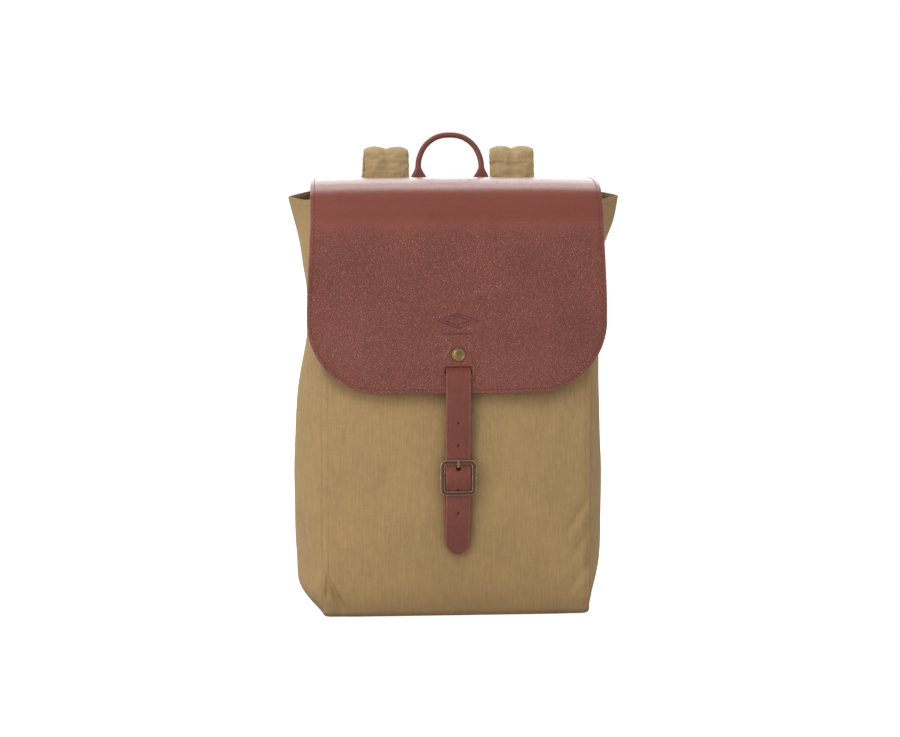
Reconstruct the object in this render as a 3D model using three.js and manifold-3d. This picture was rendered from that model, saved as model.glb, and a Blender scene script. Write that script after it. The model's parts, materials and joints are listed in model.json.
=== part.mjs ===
// A canvas backpack with a leather flap, a centre-bar buckle closure, a rolled leather grab handle and two
// padded shoulder straps. Millimetres, +Z up, the front faces -Y. The origin is the centre of the base's
// underside. Cloth and leather pieces that touch in the real bag are a few tenths of a millimetre apart.
import * as THREE from "three";
import { mergeVertices } from "three/addons/utils/BufferGeometryUtils.js";
import Module from "manifold-3d";

const wasm = await Module();
wasm.setup();
const { lerp, smoothstep } = THREE.MathUtils;

// ---- driving dimensions ----
const GAP = 0.4; // clearance between pieces that touch in the real bag
const BASE_HALF_WIDTH = 129;
const BASE_HALF_DEPTH = 59.5;
const MOUTH_HALF_DEPTH = 44;
const RIM_HEIGHT = 407;
const EAR_RISE = 3; // the mouth's two side points stand a little above the rest of the rim
const SIDE_BULGE = 19.5;
const WAIST_HEIGHT = 318; // the side panels are narrowest here
const EAR_FLARE = 17; // how far the side points flare out again above the waist
const FRONT_BULGE = 14;
const BACK_BULGE = 4;
const CANVAS = 2;
const LINING = 1;
const LINING_EASE = 1.4; // the lining hangs loose inside the canvas
const FOAM = 6;
const FACING_HEIGHT = 24;
const BOARD = 2.5;

const FLAP_HALF_WIDTH = 142;
const FLAP_CORNER = 66; // radius of the flap's two lower corners
const FLAP_LEATHER = 1.8;
const FLAP_LINING = 1;
const FLAP_FOLD_AT = 104; // length of leather from the rear seam to the middle of the front fold
const FLAP_FOOT = 222; // height of the flap's lower edge
const FLAP_WIDTH_SHARES = { seam: 0.958, fold: 0.964, foot: 0.996 }; // the cut widens from the seam to the foot

const STRAP_HALF_WIDTH = 12.5;
const STRAP_LEATHER = 2.2;
const STRAP_TIP = 15; // length of the rounded tip
const SLOT_HEIGHT = 245.3;
const RIVET_HEIGHT = 258.8;
const BUCKLE_HEIGHT = 141;
const BUCKLE_SIDE = 34;
const BAR_Y = -77.2; // the buckle's centre bar
const BAR_RADIUS = 1.3;
const HOLE_PITCH = 22;
const HOLE_RADIUS = 2.1;

const HANDLE_HALF_WIDTH = 31.5;
const HANDLE_ROLL = 3;
const TAB_CENTRE = 30.7; // the handle's two flat ends
const TAB_HALF_WIDTH = 9;

const PAD_CENTRE = 62;
const PAD_HALF_WIDTH = 22.5;
const PAD_HALF_THICKNESS = 4.5;
const PAD_CLOTH = 1;
const WEBBING = 1.4;
const WEBBING_HALF_WIDTH = 12.5;
const LOOP_ROD = 1.5; // radius of the metal loops' wire
const LOWER_LOOP = new THREE.Vector3(106, 64.8, 31); // middle of the loop's lower bar

// ---- materials ----
const material = (color, roughness, metalness = 0) =>
  new THREE.MeshStandardMaterial({ color, roughness, metalness });
const canvas = material(0xa68a60, 0.95);
const cotton = material(0x6f5c43, 0.95);
const leather = material(0x7c4638, 0.5);
const suede = material(0x8a6d55, 0.9);
const brass = material(0x8a7350, 0.35, 1);
const foam = material(0x3c3c3e, 0.9);
const board = material(0x2c2a28, 0.8);
const cord = material(0xd8d0c0, 0.9);
const webbingCloth = material(0x9a8058, 0.9);

// ---- geometry helpers ----
function signedVolume({ index, attributes }) {
  const corner = (i) => new THREE.Vector3().fromBufferAttribute(attributes.position, index.getX(i));
  let sum = 0;
  for (let i = 0; i < index.count; i += 3) {
    sum += corner(i).dot(corner(i + 1).cross(corner(i + 2))) / 6;
  }
  return sum;
}

// Welds a geometry to shared vertices and turns its faces outwards.
function closed(geometry) {
  const bare = new THREE.BufferGeometry().setAttribute("position", geometry.getAttribute("position"));
  bare.setIndex(geometry.index);
  const welded = mergeVertices(bare, 1e-4);
  if (signedVolume(welded) < 0) {
    const { index } = welded;
    for (let i = 0; i < index.count; i += 3) {
      const kept = index.getX(i);
      index.setX(i, index.getX(i + 1));
      index.setX(i + 1, kept);
    }
  }
  return welded;
}

// A slab of columns x rows cells bent to a surface: point(u, v, w) with u from -1 to 1 and v, w from 0 to 1.
function slab(columns, rows, point) {
  const box = new THREE.BoxGeometry(2, 1, 1, columns, rows, 1).translate(0, 0.5, 0.5);
  const { position } = box.attributes;
  for (let i = 0; i < position.count; i++) {
    const p = point(position.getX(i), position.getY(i), position.getZ(i));
    position.setXYZ(i, p.x, p.y, p.z);
  }
  return closed(box);
}

// Skins a row of rings that all have the same number of points. The two ends are capped, or joined in a loop.
function loft(rings, loop = false) {
  const n = rings[0].length;
  const positions = rings.flat().flatMap((p) => p.toArray());
  const triangles = [];
  for (let i = 0; i < (loop ? rings.length : rings.length - 1); i++) {
    for (let j = 0; j < n; j++) {
      const [a, b] = [i * n + j, i * n + ((j + 1) % n)];
      const next = ((i + 1) % rings.length) * n;
      const [c, d] = [next + j, next + ((j + 1) % n)];
      triangles.push(a, b, d, a, d, c);
    }
  }
  const last = (rings.length - 1) * n;
  for (let j = 1; j < n - 1 && !loop; j++) {
    triangles.push(0, j + 1, j, last, last + j, last + j + 1);
  }
  const geometry = new THREE.BufferGeometry();
  geometry.setAttribute("position", new THREE.Float32BufferAttribute(positions, 3));
  return closed(geometry.setIndex(triangles));
}

const toSolid = (geometry) =>
  new wasm.Manifold(
    new wasm.Mesh({
      numProp: 3,
      vertProperties: geometry.attributes.position.array,
      triVerts: new Uint32Array(geometry.index.array),
    }),
  );

function toGeometry(solid) {
  const { vertProperties, triVerts } = solid.getMesh();
  const geometry = new THREE.BufferGeometry();
  geometry.setAttribute("position", new THREE.BufferAttribute(vertProperties, 3));
  return geometry.setIndex(new THREE.BufferAttribute(triVerts, 1));
}

const cut = (body, ...tools) =>
  toGeometry(tools.reduce((left, tool) => left.subtract(toSolid(tool)), toSolid(body)));
const join = (body, ...others) =>
  toGeometry(others.reduce((left, other) => left.add(toSolid(other)), toSolid(body)));

const rod = (radius, length, segments = 16) =>
  closed(new THREE.CylinderGeometry(radius, radius, length, segments));
const rodAlongX = (radius, length) => rod(radius, length).rotateZ(Math.PI / 2);
const block = (x, y, z) => closed(new THREE.BoxGeometry(x, y, z));
const lathe = (profile) =>
  closed(new THREE.LatheGeometry(profile.map(([r, h]) => new THREE.Vector2(r, h)), 20));
const flatCurve = (points) =>
  new THREE.CatmullRomCurve3(points.map(([y, z]) => new THREE.Vector3(0, y, z)), false, "centripetal");

// Extrudes a profile drawn in the (y, z) plane across the bag, centred on x = 0.
const CROSSWISE = new THREE.Matrix4().makeBasis(
  new THREE.Vector3(0, 1, 0),
  new THREE.Vector3(0, 0, 1),
  new THREE.Vector3(1, 0, 0),
);
const crosswise = (profile, halfWidth) =>
  closed(
    new THREE.ExtrudeGeometry(profile, { depth: 2 * halfWidth, bevelEnabled: false, curveSegments: 6 })
      .applyMatrix4(CROSSWISE)
      .translate(-halfWidth, 0, 0),
  );

function roundedRectangle(halfX, halfY, radius) {
  const shape = new THREE.Shape();
  const [x, y] = [halfX - radius, halfY - radius];
  const quarter = Math.PI / 2;
  shape.absarc(x, y, radius, 0, quarter);
  shape.absarc(-x, y, radius, quarter, 2 * quarter);
  shape.absarc(-x, -y, radius, 2 * quarter, 3 * quarter);
  shape.absarc(x, -y, radius, 3 * quarter, 4 * quarter);
  return shape;
}

const backpack = new THREE.Group();
function add(name, geometry, look, parent = backpack) {
  const mesh = new THREE.Mesh(geometry, look);
  mesh.name = name;
  parent.add(mesh);
  return mesh;
}

// ---- body: how far its outer skin stands from the middle at height z ----
const BULGE_FULL = 110; // the front and back are fully rounded from this height
const TAPER_FROM = 235; // and taper towards the mouth from this one
const halfDepth = (z) => lerp(BASE_HALF_DEPTH, MOUTH_HALF_DEPTH, smoothstep(z, TAPER_FROM, RIM_HEIGHT));
const bulge = (z, full, kept) =>
  full * smoothstep(z, 0, BULGE_FULL) * lerp(1, kept, smoothstep(z, TAPER_FROM, RIM_HEIGHT));
const frontY = (s, z) => -halfDepth(z) - bulge(z, FRONT_BULGE, 0.2) * (1 - s * s);
const backY = (s, z) => halfDepth(z) + bulge(z, BACK_BULGE, 0.4) * (1 - s * s);
const sideBulge = (z) =>
  SIDE_BULGE * (1 - Math.exp(-z / 24)) * lerp(1, 0.64, smoothstep(z, 100, WAIST_HEIGHT)) +
  EAR_FLARE * Math.max(0, (z - WAIST_HEIGHT) / (RIM_HEIGHT - WAIST_HEIGHT)) ** 1.3;
// Round across the gusset low down, and folded to a ridge near the mouth.
const gussetRidge = (s, z) => lerp(1 - s * s, 1 - Math.abs(s), smoothstep(z, 300, RIM_HEIGHT));

const SKIN_INSET = CANVAS + GAP;
const BODY_ROWS = 16;
const bodyLevel = (v, top = RIM_HEIGHT) => lerp(SKIN_INSET, top, v ** 1.35);

const frontPanel = slab(12, BODY_ROWS, (u, v, w) => {
  const z = bodyLevel(v);
  return new THREE.Vector3(u * BASE_HALF_WIDTH, frontY(u, z) + w * CANVAS, z);
});
const backPanel = slab(12, BODY_ROWS, (u, v, w) => {
  const z = bodyLevel(v);
  return new THREE.Vector3(u * BASE_HALF_WIDTH, backY(u, z) - w * CANVAS, z);
});
const gusset = (side) =>
  slab(8, BODY_ROWS, (u, v, w) => {
    const z = bodyLevel(v, RIM_HEIGHT + EAR_RISE * (1 - Math.abs(u)));
    const x = BASE_HALF_WIDTH + sideBulge(z) * gussetRidge(u, z) - w * CANVAS;
    return new THREE.Vector3(side * x, u * (halfDepth(z) - SKIN_INSET), z);
  });
const basePanel = closed(
  new THREE.ExtrudeGeometry(roundedRectangle(BASE_HALF_WIDTH, BASE_HALF_DEPTH, 8), {
    depth: CANVAS,
    bevelEnabled: false,
    curveSegments: 5,
  }),
);
add("front_panel", frontPanel, canvas);
add("back_panel", backPanel, canvas);
add("gusset_left", gusset(-1), canvas);
add("gusset_right", gusset(1), canvas);
add("base_panel", basePanel, canvas);

// ---- inside the body ----
// One turn round the inside at height z, inset from the skin by inset, and by rear more at the back.
function bodyLoop(z, inset, rear = 0) {
  const [across, deep] = [12, 8];
  const halfX = BASE_HALF_WIDTH - inset;
  const [front, back] = [inset - halfDepth(z), halfDepth(z) - inset - rear];
  const sideX = (y) => halfX + sideBulge(z) * gussetRidge(y / (halfDepth(z) - SKIN_INSET), z);
  const turn = (count, point) => Array.from({ length: count }, (_, i) => point(i / count));
  return [
    ...turn(across, (t) => [lerp(-halfX, halfX, t), frontY(lerp(-1, 1, t), z) + inset]),
    ...turn(deep, (t) => [sideX(lerp(front, back, t)), lerp(front, back, t)]),
    ...turn(across, (t) => [lerp(halfX, -halfX, t), backY(lerp(1, -1, t), z) - inset - rear]),
    ...turn(deep, (t) => [-sideX(lerp(back, front, t)), lerp(back, front, t)]),
  ].map(([x, y]) => new THREE.Vector3(x, y, z));
}

const BOARD_TOP = SKIN_INSET + BOARD;
const LINING_INSET = CANVAS + LINING_EASE;
const LINING_TOP = RIM_HEIGHT - FACING_HEIGHT - GAP;
function liningBag() {
  const floor = BOARD_TOP + GAP;
  const rear = FOAM + GAP;
  const between = Array.from({ length: BODY_ROWS }, (_, i) => bodyLevel(i / BODY_ROWS));
  const levels = [...between.filter((z) => z > floor + 2 * LINING && z < LINING_TOP), LINING_TOP];
  const outside = [floor, ...levels].map((z) => bodyLoop(z, LINING_INSET, rear));
  const inside = [floor + LINING, ...levels].map((z) => bodyLoop(z, LINING_INSET + LINING, rear));
  return loft([...outside, ...inside.reverse()]);
}

function mouthFacing() {
  const [low, high] = [RIM_HEIGHT - FACING_HEIGHT, RIM_HEIGHT - GAP];
  const inset = SKIN_INSET + 1;
  const outside = [low, high].map((z) => bodyLoop(z, inset));
  const inside = [high, low].map((z) => bodyLoop(z, inset + LINING));
  return loft([...outside, ...inside], true);
}

const backFoam = slab(8, 10, (u, v, w) => {
  const s = u * 0.92;
  const z = lerp(BOARD_TOP + 8, LINING_TOP - 4, v ** 1.35);
  return new THREE.Vector3(s * BASE_HALF_WIDTH, backY(s, z) - SKIN_INSET - 0.5 - w * (FOAM - 0.5), z);
});
const boardPlate = new THREE.ExtrudeGeometry(
  roundedRectangle(BASE_HALF_WIDTH - 6, BASE_HALF_DEPTH - 5, 6),
  { depth: BOARD, bevelEnabled: false, curveSegments: 4 },
).translate(0, 0, SKIN_INSET);

const SLEEVE = { halfWidth: 110, foot: BOARD_TOP + 10, top: 282, middle: 37, thickness: 4 };
const sleevePanel = block(2 * SLEEVE.halfWidth, SLEEVE.thickness, SLEEVE.top - SLEEVE.foot);
sleevePanel.translate(0, SLEEVE.middle, (SLEEVE.top + SLEEVE.foot) / 2);
// A strip folded over the sleeve's top edge.
function sleeveBinding() {
  const inner = SLEEVE.thickness / 2 + GAP;
  const [outer, drop] = [inner + LINING, 9];
  const strip = block(2 * SLEEVE.halfWidth, 2 * outer, drop + GAP + LINING);
  strip.translate(0, SLEEVE.middle, SLEEVE.top + (GAP + LINING - drop) / 2);
  const groove = block(2 * SLEEVE.halfWidth + 2, 2 * inner, drop + 2);
  return cut(strip, groove.translate(0, SLEEVE.middle, SLEEVE.top + GAP - (drop + 2) / 2));
}

add("lining", liningBag(), cotton);
add("mouth_facing", mouthFacing(), canvas);
add("back_foam", backFoam, foam);
add("base_board", closed(boardPlate), board);
add("laptop_sleeve", sleevePanel, cotton);
add("sleeve_binding", sleeveBinding(), canvas);

// ---- flap: one leather sheet and its lining, each in two nodes that meet at the front fold ----
// The sheet's outer face in the middle of the bag, from the rear seam over the mouth and down the front.
const flapProfile = flatCurve([
  [45.5, 411],
  [30, 416.8],
  [5, 419.6],
  [-25, 419],
  [-50, 411.5],
  [-64, 394],
  [-71, 365],
  [-77, 320],
  [-81, 270],
  [-82.5, FLAP_FOOT],
]);
flapProfile.arcLengthDivisions = 400;
const FLAP_LENGTH = flapProfile.getLength();
const SEAM_CLEARANCE = 0.7; // the sheet starts this far from the hinge line
const FOLD_CLEARANCE = 0.3;
const SIDE_TUCK = 12; // the front hangs closer to the bag at its two sides
const SIDE_DROOP = 1.6; // and the top is lower there

function flapPoint(x, length, depth) {
  const t = Math.min(1, length / FLAP_LENGTH);
  const p = flapProfile.getPointAt(t);
  const tangent = flapProfile.getTangentAt(t);
  const across = (x / FLAP_HALF_WIDTH) ** 2;
  const tuck = SIDE_TUCK * smoothstep(length, FLAP_FOLD_AT, FLAP_LENGTH) * across;
  const droop = SIDE_DROOP * Math.sin(Math.PI * Math.min(1, length / (FLAP_FOLD_AT + 30))) * across ** 2;
  // The tangent turned a quarter round points inwards: down under the top, and backwards at the front.
  const { seam, fold, foot } = FLAP_WIDTH_SHARES;
  const share = lerp(lerp(seam, fold, smoothstep(length, 0, 95)), foot, smoothstep(length, 110, 230));
  return new THREE.Vector3(x * share, p.y - tangent.z * depth + tuck, p.z + tangent.y * depth - droop);
}

// Half the sheet's width, at a distance from the rear seam.
function flapHalfWidth(length, margin) {
  const intoCorner = Math.max(0, length + margin - (FLAP_LENGTH - FLAP_CORNER));
  const dropped = FLAP_CORNER - Math.sqrt(Math.max(0, FLAP_CORNER ** 2 - intoCorner ** 2));
  return FLAP_HALF_WIDTH - dropped - margin;
}

function flapTop(outer, inner, margin) {
  return slab(12, 8, (u, v, w) => {
    const length = lerp(SEAM_CLEARANCE + margin, FLAP_FOLD_AT - FOLD_CLEARANCE, v);
    return flapPoint(u * flapHalfWidth(length, margin), length, lerp(outer, inner, w));
  });
}
// The rows crowd towards the lower edge, where the corners turn fastest.
function flapFront(outer, inner, margin) {
  const sheet = slab(12, 14, (u, v, w) => {
    const length = lerp(FLAP_FOLD_AT + FOLD_CLEARANCE, FLAP_LENGTH - margin, Math.sin((v * Math.PI) / 2));
    return flapPoint(u * flapHalfWidth(length, margin), length, lerp(outer, inner, w));
  });
  const slot = block(2 * STRAP_HALF_WIDTH + 1.2, 30, 9).translate(0, BAR_Y, SLOT_HEIGHT);
  return cut(sheet, slot, rod(2.2, 30).translate(0, BAR_Y, RIVET_HEIGHT));
}
const LINING_DEPTH = FLAP_LEATHER + 0.3;
const LINING_MARGIN = 1;
add("flap_leather_top", flapTop(0, FLAP_LEATHER, 0), leather);
add("flap_lining_top", flapTop(LINING_DEPTH, LINING_DEPTH + FLAP_LINING, LINING_MARGIN), suede);
add("flap_leather_front", flapFront(0, FLAP_LEATHER, 0), leather);
add("flap_lining_front", flapFront(LINING_DEPTH, LINING_DEPTH + FLAP_LINING, LINING_MARGIN), suede);

// ---- closure strap: riveted behind the flap, out through its slot and down through the buckle ----
const strapPath = flatCurve([
  [-75.3, RIVET_HEIGHT + 12],
  [-75.3, RIVET_HEIGHT],
  [-76.2, SLOT_HEIGHT + 5.6],
  [-80.4, SLOT_HEIGHT],
  [-84.6, SLOT_HEIGHT - 4.6],
  [-85.4, SLOT_HEIGHT - 12],
  [-85.2, FLAP_FOOT],
  [-83.4, 195],
  [-80.8, BUCKLE_HEIGHT + 20],
  [-80.9, BUCKLE_HEIGHT + 11],
  [-83.4, BUCKLE_HEIGHT],
  [-80.9, BUCKLE_HEIGHT - 11],
  [-80.4, BUCKLE_HEIGHT - 20],
  [-79.4, 100],
  [-76.2, 82],
  [-72.8, 65],
]);
strapPath.arcLengthDivisions = 400;
const STRAP_LENGTH = strapPath.getLength();
const PRONG_HOLE = BUCKLE_HEIGHT + 8.7;

function closureStrap() {
  const strip = slab(4, 56, (u, v, w) => {
    const t = lerp(v, Math.sin((v * Math.PI) / 2), 0.35);
    const p = strapPath.getPointAt(t);
    const tangent = strapPath.getTangentAt(t);
    const intoTip = Math.max(0, 1 - ((1 - t) * STRAP_LENGTH) / STRAP_TIP);
    const halfWidth = STRAP_HALF_WIDTH * lerp(0.3, 1, Math.sqrt(1 - intoTip ** 2));
    const depth = (w - 0.5) * STRAP_LEATHER;
    return new THREE.Vector3(u * halfWidth, p.y - tangent.z * depth, p.z + tangent.y * depth);
  });
  const punched = [-2, -1, 0, 1, 2].map((n) =>
    rod(HOLE_RADIUS, 40).translate(0, BAR_Y, PRONG_HOLE - n * HOLE_PITCH),
  );
  return cut(strip, ...punched, rod(2.2, 40).translate(0, BAR_Y, RIVET_HEIGHT));
}
add("closure_strap", closureStrap(), leather);

// ---- rivet: a domed cap on the flap, and a post with its foot behind the strap's end ----
const facingFront = (geometry, y) => geometry.rotateX(Math.PI).translate(0, y, RIVET_HEIGHT);
const RIVET_FACE = -82; // the cap stands just clear of the leather
const POST_FOOT = -72.9;
const POST_LENGTH = POST_FOOT - RIVET_FACE - 0.3;
const capProfile = [
  [0, 0],
  [6, 0],
  [6.3, 0.7],
  [5.7, 1.7],
  [4, 2.3],
  [0, 2.6],
];
const postProfile = [
  [0, 0],
  [4.5, 0],
  [4.5, 1.1],
  [1.7, 1.2],
  [1.7, POST_LENGTH],
  [0, POST_LENGTH],
];
add("rivet_cap", closed(facingFront(lathe(capProfile), RIVET_FACE)), brass);
add("rivet_post", closed(facingFront(lathe(postProfile), POST_FOOT)), brass);

// ---- buckle: a square frame whose centre bar is set back, its prong, and the leather that holds it ----
// A strip folded round a bar at the origin. Its two layers hang down together, flush with the eye's rear.
function foldedRoundBar(halfWidth, barRadius, thickness, length) {
  const eye = barRadius + 0.3;
  const outer = eye + thickness;
  const front = outer - 2 * thickness;
  const profile = new THREE.Shape();
  profile.moveTo(outer, -length);
  profile.lineTo(outer, 0);
  profile.absarc(0, 0, outer, 0, Math.PI * 1.2);
  profile.lineTo(front, -2 * outer);
  profile.lineTo(front, -length);
  const hole = new THREE.Path();
  hole.absarc(0, 0, eye, 0, 2 * Math.PI, true);
  profile.holes.push(hole);
  return crosswise(profile, halfWidth);
}

const FRAME_REAR = -82.5;
const FRAME_FRONT = -85.1;
const FRAME_BAR = 4;
function buckleFrame() {
  const outline = roundedRectangle(BUCKLE_SIDE / 2, BUCKLE_SIDE / 2, 6);
  outline.holes.push(roundedRectangle(BUCKLE_SIDE / 2 - 3.7, BUCKLE_SIDE / 2 - FRAME_BAR - 0.6, 3));
  const depth = FRAME_REAR - FRAME_FRONT;
  const ring = new THREE.ExtrudeGeometry(outline, { depth, bevelEnabled: false, curveSegments: 5 });
  const lugX = BUCKLE_SIDE / 2 - 1.8;
  const lugDepth = BAR_Y + BAR_RADIUS + 0.4 - (FRAME_FRONT + 0.8);
  const lugs = [-1, 1].map((side) =>
    block(3.4, lugDepth, 6).translate(side * lugX, FRAME_FRONT + 0.8 + lugDepth / 2, BUCKLE_HEIGHT),
  );
  const bar = rodAlongX(BAR_RADIUS, 2 * lugX).translate(0, BAR_Y, BUCKLE_HEIGHT);
  const face = closed(ring).rotateX(Math.PI / 2).translate(0, FRAME_REAR, BUCKLE_HEIGHT);
  return join(face, ...lugs, bar);
}

function prong() {
  const ring = lathe([
    [BAR_RADIUS + 0.3, -1.5],
    [BAR_RADIUS + 1.5, -1.5],
    [BAR_RADIUS + 1.5, 1.5],
    [BAR_RADIUS + 0.3, 1.5],
    [BAR_RADIUS + 0.3, -1.5],
  ]);
  ring.rotateZ(Math.PI / 2).translate(0, BAR_Y, BUCKLE_HEIGHT);
  const path = flatCurve([
    [BAR_Y - 2.1, BUCKLE_HEIGHT + 0.6],
    [-79.5, BUCKLE_HEIGHT + 5.4],
    [-81.4, PRONG_HOLE + 0.3],
    [-85.4, PRONG_HOLE + 2.6],
    [-86.4, BUCKLE_HEIGHT + 13.8],
    [-86.5, BUCKLE_HEIGHT + 16.6],
  ]);
  const section = new THREE.Shape().absarc(0, 0, 0.9, 0, 2 * Math.PI);
  const tongue = new THREE.ExtrudeGeometry(section, {
    steps: 22,
    extrudePath: path,
    curveSegments: 6,
  });
  return join(ring, closed(tongue));
}

add("buckle_frame", buckleFrame(), brass);
add("buckle_prong", prong(), brass);
const chape = foldedRoundBar(STRAP_HALF_WIDTH, BAR_RADIUS, 1.5, 44);
const prongSlot = block(4.4, 12, 13).translate(0, 0, -0.5);
add("buckle_chape", cut(chape, prongSlot).translate(0, BAR_Y, BUCKLE_HEIGHT), leather);

// ---- straps and handle: rings across a path, each a flattened oval ----
// The section stands across the path, its width along x. Seam is the depth of a groove down the middle of
// both faces, as a share of the thickness.
function sectionRing(curve, t, halfWidth, halfThickness, sides, seam = 0) {
  const centre = curve.getPointAt(t);
  const tangent = curve.getTangentAt(t);
  const across = new THREE.Vector3(1, 0, 0).addScaledVector(tangent, -tangent.x).normalize();
  const normal = new THREE.Vector3().crossVectors(tangent, across);
  return Array.from({ length: sides }, (_, i) => {
    const angle = (2 * Math.PI * i) / sides;
    const [c, s] = [Math.cos(angle), Math.sin(angle)];
    const u = Math.sign(c) * Math.abs(c) ** 0.75;
    const n = Math.sign(s) * Math.abs(s) ** 0.75 * (1 - seam * Math.exp(-((u / 0.18) ** 2)));
    return centre.clone().addScaledVector(across, u * halfWidth).addScaledVector(normal, n * halfThickness);
  });
}
const steps = (count, from, to) => Array.from({ length: count + 1 }, (_, i) => lerp(from, to, i / count));

// ---- back yoke: the leather strip over the sewn ends of the straps and the handle ----
const YOKE = { halfWidth: 96, foot: 366, top: 401, offset: 4.8, thickness: 2.2 };
const yoke = slab(10, 3, (u, v, w) => {
  const x = u * YOKE.halfWidth;
  const z = lerp(YOKE.foot, YOKE.top, v);
  const y = backY(x / BASE_HALF_WIDTH, z) + YOKE.offset + w * YOKE.thickness;
  return new THREE.Vector3(x, y, z);
});
add("back_yoke", yoke, leather);

// ---- grab handle ----
const HINGE_Y = 51.2;
const HANDLE_HINGE = 412;
const archHalf = [
  [TAB_CENTRE, HINGE_Y, HANDLE_HINGE + 0.6],
  [HANDLE_HALF_WIDTH - 0.4, 53.4, 422],
  [HANDLE_HALF_WIDTH - 1, 56.4, 434],
  [HANDLE_HALF_WIDTH - 7, 59.4, 447],
  [HANDLE_HALF_WIDTH - 18, 61.6, 455.2],
];
const arch = new THREE.CatmullRomCurve3(
  [
    ...archHalf.map(([x, y, z]) => new THREE.Vector3(-x, y, z)),
    new THREE.Vector3(0, 62.2, 457.5),
    ...archHalf.map(([x, y, z]) => new THREE.Vector3(x, y, z)).reverse(),
  ],
  false,
  "centripetal",
);
const ARCH_STEPS = 30;
const ROLL_SIDES = 12;
// The roll's ring at one step of the arch: flat and wide at the feet, round elsewhere.
function rollRing(i, inset) {
  const t = i / ARCH_STEPS;
  const foot = 1 - smoothstep(Math.min(t, 1 - t), 0, 0.1);
  const centre = arch.getPointAt(t);
  const tangent = arch.getTangentAt(t);
  const back = new THREE.Vector3(0, 1, 0).addScaledVector(tangent, -tangent.y).normalize();
  const side = new THREE.Vector3().crossVectors(tangent, back);
  const wide = lerp(HANDLE_ROLL, TAB_HALF_WIDTH, foot) - inset;
  const thick = lerp(HANDLE_ROLL, 1.9, foot) - inset;
  return Array.from({ length: ROLL_SIDES }, (_, k) => {
    const angle = (2 * Math.PI * k) / ROLL_SIDES;
    return centre
      .clone()
      .addScaledVector(side, wide * Math.cos(angle))
      .addScaledVector(back, thick * Math.sin(angle));
  });
}
const archSteps = Array.from({ length: ARCH_STEPS + 1 }, (_, i) => i);
const ROLL_LEATHER = 1.1;
const rollOutside = archSteps.map((i) => rollRing(i, 0));
const rollInside = archSteps.map((i) => rollRing(i, ROLL_LEATHER)).reverse();
add("grab_handle", loft([...rollOutside, ...rollInside], true), leather);
const coreSteps = archSteps.slice(3, -3);
add("handle_core", loft(coreSteps.map((i) => rollRing(i, ROLL_LEATHER + GAP))), cord);

// A flat sewn end, from between the yoke and the back panel up to where the free part starts.
const sewnPath = (x, topY, topZ) =>
  new THREE.CatmullRomCurve3(
    [
      new THREE.Vector3(x, 48.9, 374),
      new THREE.Vector3(x, 48.3, 390),
      new THREE.Vector3(x, 48.2, 402),
      new THREE.Vector3(x, lerp(48.2, topY, 0.62), lerp(402, topZ, 0.62)),
      new THREE.Vector3(x, topY, topZ),
    ],
    false,
    "centripetal",
  );
for (const [side, name] of [
  [-1, "left"],
  [1, "right"],
]) {
  const path = sewnPath(side * TAB_CENTRE, HINGE_Y, HANDLE_HINGE - 0.4);
  const rings = steps(8, 0, 1).map((t) => sectionRing(path, t, TAB_HALF_WIDTH, 1.4, 16));
  add(`handle_tab_${name}`, loft(rings), leather);
}

// ---- shoulder straps ----
const ROOT_TOP = { y: 58.6, z: 428 };
const padCurve = new THREE.CatmullRomCurve3(
  [
    [PAD_CENTRE, ROOT_TOP.y + 0.3, ROOT_TOP.z + 0.9],
    [PAD_CENTRE + 0.1, ROOT_TOP.y + 1.6, ROOT_TOP.z + 4.2],
    [PAD_CENTRE + 0.3, 64.8, 439.8],
    [PAD_CENTRE + 0.6, 74.5, 442],
    [PAD_CENTRE + 1.2, 84, 434.5],
    [PAD_CENTRE + 3, 91, 410],
    [PAD_CENTRE + 9, 94.5, 360],
    [PAD_CENTRE + 18, 94.5, 310],
    [PAD_CENTRE + 27, 90, 258],
    [PAD_CENTRE + 34, 84, 214],
  ].map(([x, y, z]) => new THREE.Vector3(x, y, z)),
  false,
  "centripetal",
);
const PAD_RINGS = 18;
const PAD_SIDES = 20;
const PAD_SEAM = 0.35; // depth of the sewn groove down the pad's middle, as a share of its thickness
const PAD_END_NARROWS = 0.8;
function padRing(t, inset) {
  const end = smoothstep(t, PAD_END_NARROWS, 1);
  const wide = lerp(PAD_HALF_WIDTH, WEBBING_HALF_WIDTH + 2.5, end) - inset;
  const thick = lerp(PAD_HALF_THICKNESS, 3, end) - inset;
  return sectionRing(padCurve, t, wide, thick, PAD_SIDES, PAD_SEAM);
}

function shoulderStrap(side, name) {
  const mirrored = (geometry) => closed(geometry.scale(side, 1, 1));
  const root = sewnPath(PAD_CENTRE, ROOT_TOP.y, ROOT_TOP.z);
  const rootRings = steps(8, 0, 1).map((t) => {
    const puff = smoothstep(t, 0.45, 1);
    const thick = lerp(1.4, PAD_HALF_THICKNESS, puff);
    return sectionRing(root, t, PAD_HALF_WIDTH - 0.5, thick, PAD_SIDES, PAD_SEAM * puff);
  });
  add(`strap_root_${name}`, mirrored(loft(rootRings)), canvas);
  const outside = steps(PAD_RINGS, 0, 1).map((t) => padRing(t, 0));
  const inside = steps(PAD_RINGS, 1, 0).map((t) => padRing(t, PAD_CLOTH));
  add(`shoulder_pad_${name}`, mirrored(loft([...outside, ...inside], true)), canvas);
  const filling = steps(PAD_RINGS, 0, 1).slice(1, -1);
  const foamRings = filling.map((t) => padRing(t, PAD_CLOTH + 2 * GAP));
  add(`pad_foam_${name}`, mirrored(loft(foamRings)), foam);
}

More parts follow.
